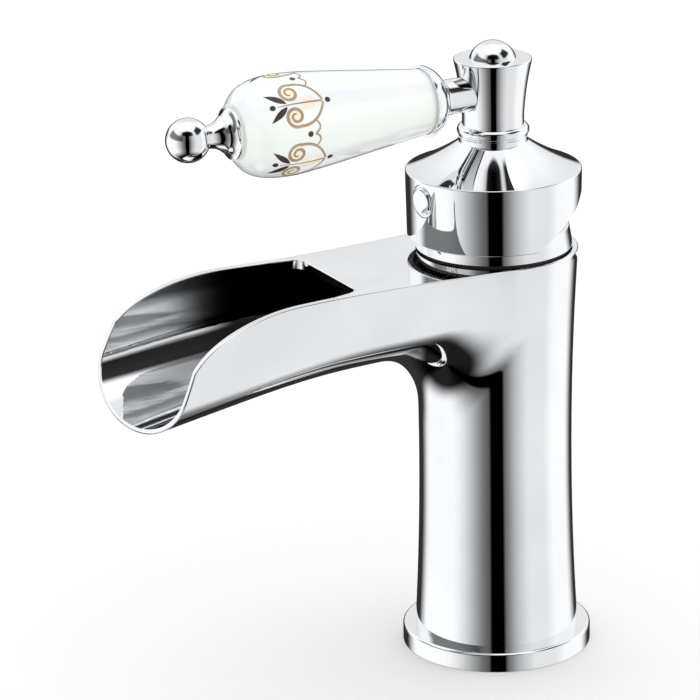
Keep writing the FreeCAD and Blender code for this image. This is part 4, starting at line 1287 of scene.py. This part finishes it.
def turret_skin():
    """Flared post with a bead at its foot and the seat of the lever."""
    skin = Skin()
    bead = [bow(*TURRET_COVE, BEND_STEPS), bow(*TURRET_BEAD, BEAD_STEPS)]
    skin.turned(outline(*TURRET_FOOT) + bead + [straight(*TURRET_WAIST, WAIST_ROWS)])
    flare = bow(*TURRET_FLARE, FLARE_STEPS)
    angles = np.linspace(-2 * math.pi, 0, SEGMENTS + 1)
    seat = pierced(skin, flare, angles, FRONT, TURRET_SEAT_HEIGHT, TURRET_SEAT_RADIUS)
    floor = bored(skin, seat, FRONT, TURRET_SEAT_HEIGHT, TURRET_SEAT_DEPTH)
    hole = face_ring(FRONT, TURRET_SEAT_HEIGHT, TURRET_SEAT_DEPTH, ROD_HOLE_RADIUS)
    ahead = (0.0, -1.0, 0.0)
    skin.flat(ahead, floor, hole)
    skin.flat(ahead, bored(skin, hole, FRONT, TURRET_SEAT_HEIGHT, ROD_HOLE_END))
    skin.turned([bow(*TURRET_RIM, CORNER_STEPS)] + outline(*TURRET_TOP))
    return skin


def button_skin():
    """Domed button on the turret, with its screw shank."""
    skin = Skin()
    edge, foot = BUTTON_SHANK[-1]
    ball = (edge ** 2 + BUTTON_HEIGHT ** 2) / (2 * BUTTON_HEIGHT)
    angle = math.atan2(edge, ball - BUTTON_HEIGHT) / 2
    middle = (ball * math.sin(angle), foot + BUTTON_HEIGHT - ball * (1 - math.cos(angle)))
    dome = bow(BUTTON_SHANK[-1], middle, (0.0, foot + BUTTON_HEIGHT), DOME_STEPS)
    skin.turned(outline(*BUTTON_SHANK) + [dome])
    return skin


def ferrule_skin():
    """Neck and cup at the grip's inner end, with a cove between them."""
    skin = Skin()
    neck_foot, neck_end = FERRULE_NECK
    places, normals = bow(neck_end, bulged(neck_end, FERRULE_RIM, FERRULE_BULGE), FERRULE_RIM, DOME_STEPS)
    cup = np.linalg.norm(places[0] - places[-1]) / np.linalg.norm(normals[0] - normals[-1])
    centre = places[0] - normals[0] * cup
    cove_radius = neck_end[0] + FERRULE_COVE
    drop = math.sqrt((cup + FERRULE_COVE) ** 2 - (cove_radius - centre[0]) ** 2)
    cove = np.array((cove_radius, centre[1] - drop))
    touch = centre + unit(cove - centre) * cup
    start = np.array((neck_end[0], cove[1]))
    middle = cove + FERRULE_COVE * unit((start + touch) / 2 - cove)
    shoulder = bow(touch, bulge_middle(centre, cup, touch, FERRULE_RIM), FERRULE_RIM, CROWN_STEPS)
    inside = bulged(FERRULE_FLOOR, FERRULE_LIP, FERRULE_BULGE / 2)
    hollow = bow(FERRULE_LIP, inside, FERRULE_FLOOR, CUP_STEPS)
    runs = [straight((FERRULE_BORE, neck_foot[1]), neck_foot), straight(neck_foot, start)]
    runs += [bow(start, middle, touch, COVE_STEPS), shoulder, straight(FERRULE_RIM, FERRULE_LIP), hollow]
    runs += outline(FERRULE_FLOOR, (FERRULE_BORE, FERRULE_FLOOR[1]), (FERRULE_BORE, neck_foot[1]))
    skin.turned(runs, along_lever())
    return skin


def bulge_middle(centre, radius, start, end):
    """The middle of the short arc between two places of a circle."""
    return centre + radius * unit((np.asarray(start) + np.asarray(end)) / 2 - centre)


def grip_curve():
    """The grip's profile as two functions of the share of its length."""
    places = np.array(GRIP_PROFILE)
    steps = np.linalg.norm(np.diff(places, axis=0), axis=1)
    shares = np.concatenate([[0.0], np.cumsum(steps) / steps.sum()])
    return natural_curve(shares, places[:, 0]), natural_curve(shares, places[:, 1])


def grip_run(steps=90):
    radius, reach = grip_curve()
    shares = np.linspace(0, 1, steps + 1)
    places = np.stack([radius(shares), reach(shares)], axis=-1)
    along = unit(np.gradient(places, axis=0))
    return places, np.stack([along[:, 1], -along[:, 0]], axis=-1)


def grip_skin():
    """Club-shaped porcelain grip with a bore for the rod."""
    skin = Skin()
    inner, shoulder = GRIP_SHOULDER
    end = GRIP_PROFILE[-1]
    runs = [straight((GRIP_BORE, inner[1]), inner)]
    runs += [bow(inner, bulged(inner, shoulder, GRIP_ROUNDING), shoulder, BEND_STEPS), grip_run()]
    runs += outline(end, (GRIP_BORE, end[1]), (GRIP_BORE, inner[1]))
    skin.turned(runs, along_lever())
    return skin


def ball_skin():
    """Cup, bell, thin neck and ball at the lever's tip."""
    skin = Skin()
    rim, foot, neck, neck_end = BALL_BELL
    runs = outline(*BALL_CUP)
    for start, end in ((rim, foot), (foot, neck)):
        runs.append(bow(start, bulged(start, end, -BALL_HOLLOW), end, COVE_STEPS))
    runs.append(straight(neck, neck_end))
    tip = (0.0, BALL_MIDDLE + BALL_RADIUS)
    runs.append(bow(neck_end, (BALL_RADIUS, BALL_MIDDLE), tip, BALL_STEPS))
    runs += outline(*BALL_HOLE)
    skin.turned(runs, along_lever())
    return skin


class Motif:
    """Thin shapes laid on the grip around its own axis; places are around and along it."""

    def __init__(self, lift):
        self.skin = Skin()
        self.lift = lift
        self.run = grip_run()[0]

    def lay(self, places, lift):
        """Points on the grip, its normals, and the ways around and along it."""
        around, along = places[..., 0], places[..., 1]
        angle = around / ORNAMENT_RADIUS
        radius = np.interp(along, self.run[:, 1], self.run[:, 0]) + lift
        slope = np.interp(along, self.run[:, 1], np.gradient(self.run[:, 0], self.run[:, 1]))
        cos, sin, none = np.cos(angle), np.sin(angle), 0 * angle
        points = np.stack([radius * cos, radius * sin, along], axis=-1)
        outward = unit(np.stack([cos, sin, -slope], axis=-1))
        ahead = unit(np.stack([slope * cos, slope * sin, 1 + none], axis=-1))
        return points, outward, np.stack([-sin, cos, none], axis=-1), ahead

    def slab(self, rows, sides, closed):
        """A thin slab under rows of places, with walls along the lines that are its sides."""
        for lift, facing in ((self.lift, 1), (-ORNAMENT_SINK, -1)):
            points, outward, _, _ = self.lay(np.stack(rows), lift)
            self.skin.grid(points, outward * facing, closed)
        for line, away in sides:
            upper, _, around, ahead = self.lay(line, self.lift)
            lower = self.lay(line, -ORNAMENT_SINK)[0]
            outward = around * away[:, :1] + ahead * away[:, 1:]
            self.skin.grid(np.stack([upper, lower]), np.stack([outward, outward]), closed)

    def ribbon(self, places, widths):
        """A line of changing width."""
        places = np.asarray(places, float)
        along = unit(np.gradient(places, axis=0))
        aside = np.stack([along[:, 1], -along[:, 0]], axis=-1)
        half = np.asarray(widths)[:, None] / 2
        right, left = places + aside * half, places - aside * half
        self.slab([right, left], [(right, aside), (left, -aside)], False)
        for end, way in ((0, -1), (-1, 1)):
            cap = np.stack([right[end], left[end]])
            upper, _, around, ahead = self.lay(cap, self.lift)
            lower = self.lay(cap, -ORNAMENT_SINK)[0]
            outward = (around * along[end, 0] + ahead * along[end, 1]) * way
            self.skin.grid(np.stack([upper, lower]), np.stack([outward, outward]))

    def blot(self, loop):
        """A filled shape."""
        middle = np.broadcast_to(loop.mean(axis=0), loop.shape)
        rows = [middle + (loop - middle) * share for share in np.linspace(0, 1, BLOT_RINGS)]
        self.slab(rows, [(loop, unit(loop - middle))], True)

    def both(self, draw, places, *more):
        """A shape and its mirror image."""
        draw(places, *more)
        draw(np.asarray(places) * (-1, 1), *more)


def curved(start, bend, end, steps=18):
    """A line from start to end, drawn towards a bend."""
    share = np.linspace(0, 1, steps + 1)[:, None]
    start, bend, end = (np.asarray(place, float) for place in (start, bend, end))
    return start * (1 - share) ** 2 + bend * 2 * share * (1 - share) + end * share ** 2


def volute(middle, radius, start, turns, steps=54):
    """A spiral that winds in from its start."""
    share = np.linspace(0, 1, steps + 1)
    angle = start + turns * 2 * math.pi * share
    reach = radius * (1 - VOLUTE_SHRINK * share)
    return np.asarray(middle) + np.stack([reach * np.cos(angle), reach * np.sin(angle)], axis=-1)


def leaf(foot, tip, width, steps=14):
    """A pointed leaf from foot to tip."""
    foot, tip = np.asarray(foot, float), np.asarray(tip, float)
    share = np.linspace(0, 1, steps + 1)[:, None]
    along = unit(tip - foot)
    aside = np.array((along[1], -along[0])) * width / 2 * np.sin(math.pi * share ** 0.8)
    middle = foot + (tip - foot) * share
    return np.concatenate([(middle + aside)[:-1], (middle - aside)[:0:-1]])


def dot(middle, radius, steps=20):
    turn = full_turn(steps)
    return np.asarray(middle) + radius * np.stack([np.cos(turn), np.sin(turn)], axis=-1)


def scroll_lines(shape):
    """A lyre of two volutes around a stem, with links to its neighbours."""
    motif = Motif(LINE_LIFT)
    width = shape.line_width / MILLIMETRE
    spiral = volute(VOLUTE_MIDDLE, VOLUTE_RADIUS, VOLUTE_START, VOLUTE_TURNS)
    line = np.concatenate([curved(LYRE_FOOT, LYRE_BEND, spiral[0])[:-1], spiral])
    taper = np.sin(math.pi * np.linspace(0.12, 0.93, len(line)))
    motif.both(motif.ribbon, line, width * (0.5 + 0.7 * taper))
    border = math.pi * ORNAMENT_RADIUS / shape.repeats
    link = curved(LINK_FOOT, (border * 0.82, LINK_FOOT[1] - LINK_DIP), (border, LINK_FOOT[1]))
    motif.both(motif.ribbon, link, width * np.linspace(0.55, 0.8, len(link)))
    stem = np.linspace(STEM_FOOT, STEM_END, 12)
    motif.ribbon(stem, width * np.linspace(0.7, 0.35, len(stem)))
    return motif.skin


def scroll_berries(shape):
    """Dark berries and leaves."""
    motif = Motif(LINE_LIFT)
    border = math.pi * ORNAMENT_RADIUS / shape.repeats
    radius = shape.berry_radius / MILLIMETRE
    for place in (*BERRY_PLACES, (border, LINK_FOOT[1] + radius * 2)):
        motif.blot(dot(place, radius))
    motif.both(motif.blot, leaf(LEAF_FOOT, LEAF_TIP, LEAF_WIDTH))
    return motif.skin


def scroll_ground(shape):
    """Pale ground inside the volutes and beside the stem."""
    motif = Motif(GROUND_LIFT)
    motif.both(motif.blot, dot(VOLUTE_MIDDLE, VOLUTE_RADIUS * 0.8, 32))
    motif.both(motif.blot, leaf(LYRE_FOOT + STEM_GAP, PETAL_TIP, PETAL_WIDTH, 24))
    return motif.skin


def repeated(name, mesh, material, shape):
    """A mesh repeated around Z by a node tree, as a plain mesh laid along the lever."""
    tree = bpy.data.node_groups.new(name, "GeometryNodeTree")
    kinds = {"Motif": "Geometry", "Count": "Int", "Start": "Float", "Finish": "Material"}
    sockets = {}
    for key, kind in kinds.items():
        sockets[key] = tree.interface.new_socket(key, in_out="INPUT", socket_type="NodeSocket" + kind)
    tree.interface.new_socket("Band", in_out="OUTPUT", socket_type="NodeSocketGeometry")
    paint = Paint(tree)
    given = {key: paint.node("NodeGroupInput", output=key) for key in kinds}
    index = paint.node("GeometryNodeInputIndex")
    angle = given["Start"] + index * (2 * math.pi) / given["Count"]
    turn = paint.node("ShaderNodeCombineXYZ", {}, {"Z": angle})
    copies = paint.node("GeometryNodeInstanceOnPoints", {}, {
        "Points": paint.node("GeometryNodePoints", {}, {"Count": given["Count"]}),
        "Instance": given["Motif"],
        "Rotation": paint.node("FunctionNodeEulerToRotation", {}, {"Euler": turn}),
    })
    real = paint.node("GeometryNodeRealizeInstances", {}, {"Geometry": copies})
    band = paint.node("GeometryNodeSetMaterial", {}, {"Geometry": real, "Material": given["Finish"]})
    paint.node("NodeGroupOutput", {}, {"Band": band})
    carrier = bpy.data.objects.new(name, mesh)
    bpy.context.scene.collection.objects.link(carrier)
    modifier = carrier.modifiers.new("Around the grip", "NODES")
    modifier.node_group = tree
    modifier[sockets["Count"].identifier] = shape.repeats
    modifier[sockets["Start"].identifier] = shape.start
    modifier[sockets["Finish"].identifier] = material
    graph = bpy.context.evaluated_depsgraph_get()
    plain = bpy.data.meshes.new_from_object(carrier.evaluated_get(graph))
    carrier.modifiers.clear()
    bpy.data.objects.remove(carrier)
    lay = Matrix(along_lever().tolist())
    lay.translation *= MILLIMETRE
    plain.transform(lay)
    return plain


# Sizes and colours that a user may change

def colour_field(name, description, *default):
    return bpy.props.FloatVectorProperty(
        name=name, description=description, subtype="COLOR", default=default, min=0.0, max=1.0,
    )


class TapFinish(bpy.types.PropertyGroup):
    """Colours of the tap's materials."""

    chrome: colour_field("Chrome", "Colour of the plated chrome", 0.93, 0.94, 0.95)
    porcelain: colour_field("Porcelain", "Colour of the glazed grip", 0.93, 0.94, 0.94)
    glaze_green: colour_field("Green tint", "Tint along the middle of the grip", 0.83, 0.91, 0.82)
    # Colour of the painted cool shade at the grip's top and underside
    shade_blue: colour_field("Blue tint", "Tint at the grip's top and underside", 0.86, 0.92, 0.96)
    casting: colour_field("Casting", "Colour of the unpolished insides", 0.09, 0.09, 0.095)
    scroll: colour_field("Scrolls", "Colour of the painted lines", 0.37, 0.27, 0.16)
    berry: colour_field("Berries", "Colour of the painted berries and leaves", 0.03, 0.016, 0.01)
    ground: colour_field("Ground", "Colour of the pale paint between the lines", 0.93, 0.84, 0.66)
    brass: colour_field("Brass", "Colour of the plain brass inside", 0.78, 0.57, 0.28)
    steel: colour_field("Steel", "Colour of the steel inside", 0.62, 0.63, 0.65)
    floor: colour_field("Floor", "Colour of the floor", 0.93, 0.93, 0.93)


class TapShape(bpy.types.PropertyGroup):
    """Sizes of the edges and the ornament."""

    edge_rounding: bpy.props.FloatProperty(
        name="Edge rounding", description="Radius of the body's outer edges",
        unit="LENGTH", default=0.0005, min=0.0001, max=0.0009, precision=5,
    )
    repeats: bpy.props.IntProperty(
        name="Motifs", description="How many times the motif stands around the grip", default=5, min=3, max=6,
    )
    start: bpy.props.FloatProperty(
        name="First motif", description="Direction of the first motif, from the side upwards",
        subtype="ANGLE", default=math.radians(38.0),
    )
    line_width: bpy.props.FloatProperty(
        name="Line width", description="Width of the painted lines",
        unit="LENGTH", default=0.00075, min=0.0002, max=0.0015, precision=5,
    )
    berry_radius: bpy.props.FloatProperty(
        name="Berry radius", description="Radius of the painted berries",
        unit="LENGTH", default=0.0008, min=0.0002, max=0.0015, precision=5,
    )


def shape_sizes():
    return bpy.context.scene.tap_shape


def edge_rounding():
    return shape_sizes().edge_rounding / MILLIMETRE


class TapStudio(bpy.types.PropertyGroup):
    """Camera and light."""

    azimuth: bpy.props.FloatProperty(
        name="Azimuth", description="Direction of the camera around the tap, from the spout's front",
        subtype="ANGLE", default=math.radians(62.349),
    )
    elevation: bpy.props.FloatProperty(
        name="Elevation", description="Height of the camera above the horizon",
        subtype="ANGLE", default=math.radians(18.78),
    )
    roll: bpy.props.FloatProperty(
        name="Roll", description="Tilt of the picture", subtype="ANGLE", default=math.radians(-1.1),
    )
    distance: bpy.props.FloatProperty(
        name="Distance", description="Distance of the camera from its aim", unit="LENGTH", default=1.1204,
    )
    aim_height: bpy.props.FloatProperty(
        name="Aim height", description="Height that the camera looks at", unit="LENGTH", default=0.08829,
    )
    aim_side: bpy.props.FloatProperty(
        name="Aim offset", description="How far the aim lies to the left of the column's axis",
        unit="LENGTH", default=0.04092,
    )
    lens: bpy.props.FloatProperty(
        name="Lens", description="Focal length on a 36 mm sensor", unit="CAMERA", default=203.62,
    )
    backdrop: colour_field("Backdrop", "Colour behind the tap", 1.0, 1.0, 1.0)
    strength: bpy.props.FloatProperty(
        name="Light", description="Brightness of the studio", default=1.0, min=0.0,
    )
    overhead: bpy.props.FloatProperty(
        name="Overhead light", description="Strength of the soft light from above", default=0.4, min=0.0,
    )


PLATED = (
    ("cast_body", body_skin, "body", "tap_body"),
    ("foot_flange", flange_skin, "body", "base_flange"),
    ("collar", trim_skin, "body", "trim_ring"),
    ("drum_head", head_skin, "lever", "lever_head"),
    ("front_plug", plug_skin, "lever", "index_plug"),
    ("flared_turret", turret_skin, "lever", "turret"),
    ("top_button", button_skin, "lever", "top_finial"),
    ("grip_ferrule", ferrule_skin, "lever", "lever_ferrule"),
    ("ball_end", ball_skin, "lever", "ball_finial"),
)


def settle(name, mesh, body, slot, materials, *nodes):
    """Sets a piece on its body, in the place of its CAD nodes."""
    piece = bpy.data.objects.new(name, mesh)
    bpy.context.scene.collection.objects.link(piece)
    for material in materials:
        mesh.materials.append(material)
    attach(piece, body)
    if nodes:
        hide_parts(*nodes)
    return piece


class TAP_OT_plated(bpy.types.Operator):
    """Makes the plated pieces"""

    bl_idname = "tap.plated"
    bl_label = "Plated Pieces"

    def execute(self, context):
        finishes = (chrome(), cast_inside(), waterway())
        for name, skin, body, node in PLATED:
            mesh = skin().mesh(name)
            used = max(face.material_index for face in mesh.polygons) + 1
            settle(name, mesh, body, "chrome", finishes[:used], node)
        return {"FINISHED"}


class TAP_OT_grip(bpy.types.Operator):
    """Makes the glazed grip"""

    bl_idname = "tap.grip"
    bl_label = "Porcelain Grip"

    def execute(self, context):
        mesh = grip_skin().mesh("glazed_grip")
        settle("glazed_grip", mesh, "lever", "porcelain", [porcelain()], "porcelain_grip")
        return {"FINISHED"}


class TAP_OT_ornament(bpy.types.Operator):
    """Paints scrolls, berries and their pale ground around the grip"""

    bl_idname = "tap.ornament"
    bl_label = "Ornament"

    def execute(self, context):
        shape, colour = shape_sizes(), colours()
        for name, skin, paint in (
            ("scroll_lines", scroll_lines, enamel("tan_enamel", colour.scroll)),
            ("scroll_berries", scroll_berries, enamel("brown_enamel", colour.berry)),
            ("scroll_ground", scroll_ground, enamel("cream_enamel", colour.ground)),
        ):
            mesh = repeated(name, skin(shape).mesh(name), paint, shape)
            settle(name, mesh, "lever", "porcelain", ())
        return {"FINISHED"}


# Each inner finish: its name, colour, roughness, grain and the grain's depth in metres, then its nodes
MOULDED = (
    (("disc_ceramic", (0.86, 0.85, 0.82), 0.12, 700.0, 0.00001), ("fixed_disc", "moving_disc")),
    (("cartridge_plastic", (0.82, 0.82, 0.8), 0.38, 900.0, 0.00003), ("cartridge_base", "cartridge_housing")),
    (("sleeve_plastic", (0.2, 0.32, 0.5), 0.35, 900.0, 0.00003), ("turning_sleeve", "disc_carrier")),
    (
        ("black_rubber", (0.02, 0.02, 0.022), 0.55, 1400.0, 0.00005),
        ("base_gasket", "inlet_seals", "housing_o_ring"),
    ),
    (("soft_washer", (0.7, 0.69, 0.66), 0.5, 1100.0, 0.00004), ("inner_washer", "outer_washer")),
)


class TAP_OT_inner(bpy.types.Operator):
    """Gives the pieces inside their metals, plastics, ceramics and rubber"""

    bl_idname = "tap.inner"
    bl_label = "Inner Pieces"

    def execute(self, context):
        brass = turned_metal("turned_brass", colours().brass, 0.22)
        steel = turned_metal("turned_steel", colours().steel, 0.2)
        dress(("retaining_nut", "cartridge_stem"), brass)
        dress(("pivot_pin", "grub_screw", "lever_rod"), steel)
        for finish, nodes in MOULDED:
            dress(nodes, moulded(*finish))
        return {"FINISHED"}


def dress(nodes, material):
    """Gives CAD nodes their material."""
    for node in nodes:
        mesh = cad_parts[node].data
        mesh.materials.clear()
        mesh.materials.append(material)


# The studio's tent in degrees beside the way to the camera or above the horizon; softness is third
HORIZON_FADE = (4.0, 11.0)
LENS_GAP = (8.0, 12.5)
FAN = (8.0, 72.0)
FAN_MIDDLE = (-5.0, 5.0)
RIGHT_SHADE = (30.0, 84.0, 12.0)
REAR_SHIFT = 4.0
REAR_MIDDLE = (-10.0, 10.0)
REAR_EDGE = (119.0, 147.0)
REAR_WALL = (140.0, 165.0)
DUSK_SIDE = (-112.0, -22.0, 9.0)
DUSK_RISE = (8.0, 34.0, 4.0)
ARCH_FOOT = (33.0, 39.0)
ARCH_SIDE = (30.0, 44.0)
ARCH_TOP = 63.0
ARCH_FADE = (-3.0, 4.0)
WING_RISE = (31.0, 58.0, 4.0)
WING_SIDE = (58.0, 112.0, 8.0)
CEILING = (51.0, 59.0)
PIT = (-66.0, -39.0)

# The tent's other numbers: degrees in a radian, the fan's widening and the arch's bend per square degree
DEGREES = 180 / math.pi
FAN_STRETCH = 0.4
ARCH_CURVE = 0.006

# Floor and clipping in metres, the sensor in millimetres
FLOOR_REACH = 3.0
CLIP_START = 0.05
CLIP_END = 20.0
SENSOR_WIDTH = 36.0
LAMP_SPREAD = math.radians(140.0)


class TAP_OT_stage(bpy.types.Operator):
    """Sets the floor, the studio light and the camera"""

    bl_idname = "tap.stage"
    bl_label = "Studio"

    def execute(self, context):
        self.floor()
        self.light(context.scene)
        self.camera(context.scene)
        return {"FINISHED"}

    def floor(self):
        mesh = bpy.data.meshes.new("floor")
        ways = ((-1, -1), (1, -1), (1, 1), (-1, 1))
        corners = [(FLOOR_REACH * x, FLOOR_REACH * y, 0) for x, y in ways]
        mesh.from_pydata(corners, [], [(0, 1, 2, 3)])
        floor = bpy.data.objects.new("floor", mesh)
        bpy.context.scene.collection.objects.link(floor)
        floor.visible_glossy = False

        def shade(paint):
            cloud = paint.noise(3.0, 2.0, paint.place())
            light = opaque([min(1.0, part * 1.02) for part in colours().floor])
            return {
                "Base Color": paint.mix(cloud, opaque(colours().floor), light),
                "Roughness": 0.6 + 0.1 * cloud,
                "Specular IOR Level": 0.0,
            }

        mesh.materials.append(finish_named("pale_floor", shade))

    def light(self, scene):
        """An even white tent, whose dark gaps only show as reflections."""
        studio = scene.tap_studio
        world = bpy.data.worlds.new("studio")
        scene.world = world
        world.use_nodes = True
        paint = Paint(world.node_tree)
        glow = self.tent(paint, studio.azimuth)
        mirrored = paint.node("ShaderNodeLightPath", output="Is Glossy Ray")
        grey = paint.node("ShaderNodeCombineColor", {}, {0: glow, 1: glow, 2: glow * 1.01})
        shown = paint.mix(mirrored, opaque(studio.backdrop), grey)
        background = paint.node("ShaderNodeBackground", {}, {"Color": shown, "Strength": studio.strength})
        paint.node("ShaderNodeOutputWorld", {}, {"Surface": background})
        scene.view_settings.view_transform = "Standard"
        lamp = bpy.data.lights.new("overhead", "SUN")
        lamp.energy = studio.overhead
        lamp.angle = LAMP_SPREAD
        overhead = bpy.data.objects.new("overhead", lamp)
        overhead.visible_glossy = False
        scene.collection.objects.link(overhead)

    def tent(self, paint, azimuth):
        """The tent's brightness in each direction, laid out around the way to the camera."""
        x, y, z = paint.split(paint.node("ShaderNodeTexCoord", output="Generated"))
        ahead = x * math.sin(azimuth) + y * -math.cos(azimuth)
        aside = x * math.cos(azimuth) + y * math.sin(azimuth)
        side = aside.math("ARCTAN2", aside, ahead) * DEGREES
        turn = abs(side)
        rise = z.math("ARCSINE", z) * DEGREES
        low = 1 - rise.step(*HORIZON_FADE)
        fan = turn * (1 + FAN_STRETCH * side.step(*FAN_MIDDLE))
        glow = (0.1 + 0.96 * fan.step(*FAN)) * turn.step(*LENS_GAP)
        glow = glow * (1 - 0.2 * side.between(*RIGHT_SHADE))
        edge = turn - REAR_SHIFT * side.step(*REAR_MIDDLE)
        glow = glow * (1 - 0.97 * edge.step(*REAR_EDGE) * low)
        rear = turn.step(*REAR_WALL) * (1 - low)
        glow = glow * (1 - 0.2 * rear)
        dusk = side.between(*DUSK_SIDE) * rise.between(*DUSK_RISE)
        glow = glow * (1 - 0.8 * dusk)
        arch = rise.step(*ARCH_FOOT) * (1 - turn.step(*ARCH_SIDE))
        arch = arch * (ARCH_TOP - ARCH_CURVE * turn * turn - rise).step(*ARCH_FADE)
        wing = rise.between(*WING_RISE) * side.between(*WING_SIDE)
        top = rise.step(*CEILING)
        glow = glow * (1 - top) + 1.1 * top
        glow = glow * (1 - 0.97 * arch) * (1 - 0.97 * wing)
        below = 1 - rise.step(*PIT)
        return glow * (1 - 0.985 * below)

    def camera(self, scene):
        studio = scene.tap_studio
        azimuth, elevation, roll = studio.azimuth, studio.elevation, studio.roll
        back = Vector((
            math.sin(azimuth) * math.cos(elevation),
            -math.cos(azimuth) * math.cos(elevation),
            math.sin(elevation),
        ))
        right = Vector((math.cos(azimuth), math.sin(azimuth), 0))
        up = back.cross(right)
        aim = Vector((0, 0, studio.aim_height)) - right * studio.aim_side
        axes = Matrix((
            right * math.cos(roll) + up * math.sin(roll),
            up * math.cos(roll) - right * math.sin(roll),
            back,
        )).transposed()
        data = bpy.data.cameras.new("camera")
        data.sensor_width = SENSOR_WIDTH
        data.lens = studio.lens
        data.clip_start, data.clip_end = CLIP_START, CLIP_END
        camera = bpy.data.objects.new("camera", data)
        camera.matrix_world = Matrix.Translation(aim + back * studio.distance) @ axes.to_4x4()
        scene.collection.objects.link(camera)
        scene.camera = camera


OPERATORS = (TAP_OT_plated, TAP_OT_grip, TAP_OT_ornament, TAP_OT_inner, TAP_OT_stage)
GROUPS = {"tap_shape": TapShape, "tap_finish": TapFinish, "tap_studio": TapStudio}


class TAP_PT_sidebar(bpy.types.Panel):
    """The tap's pieces, sizes and colours"""

    bl_idname = "TAP_PT_sidebar"
    bl_label = "Basin Mixer Tap"
    bl_space_type = "VIEW_3D"
    bl_region_type = "UI"
    bl_category = "Tap"

    def draw(self, context):
        for operator in OPERATORS:
            self.layout.operator(operator.bl_idname)
        for name in GROUPS:
            group = getattr(context.scene, name)
            box = self.layout.box()
            for field in group.__annotations__:
                box.prop(group, field)


CLASSES = (*GROUPS.values(), *OPERATORS, TAP_PT_sidebar)


def register():
    for cls in CLASSES:
        bpy.utils.register_class(cls)
    for name, group in GROUPS.items():
        setattr(bpy.types.Scene, name, bpy.props.PointerProperty(type=group))


def unregister():
    for name in GROUPS:
        delattr(bpy.types.Scene, name)
    for cls in reversed(CLASSES):
        bpy.utils.unregister_class(cls)


def main():
    register()
    bpy.ops.tap.plated()
    bpy.ops.tap.grip()
    bpy.ops.tap.ornament()
    bpy.ops.tap.inner()
    bpy.ops.tap.stage()
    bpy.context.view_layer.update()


if __name__ == "__main__":
    main()
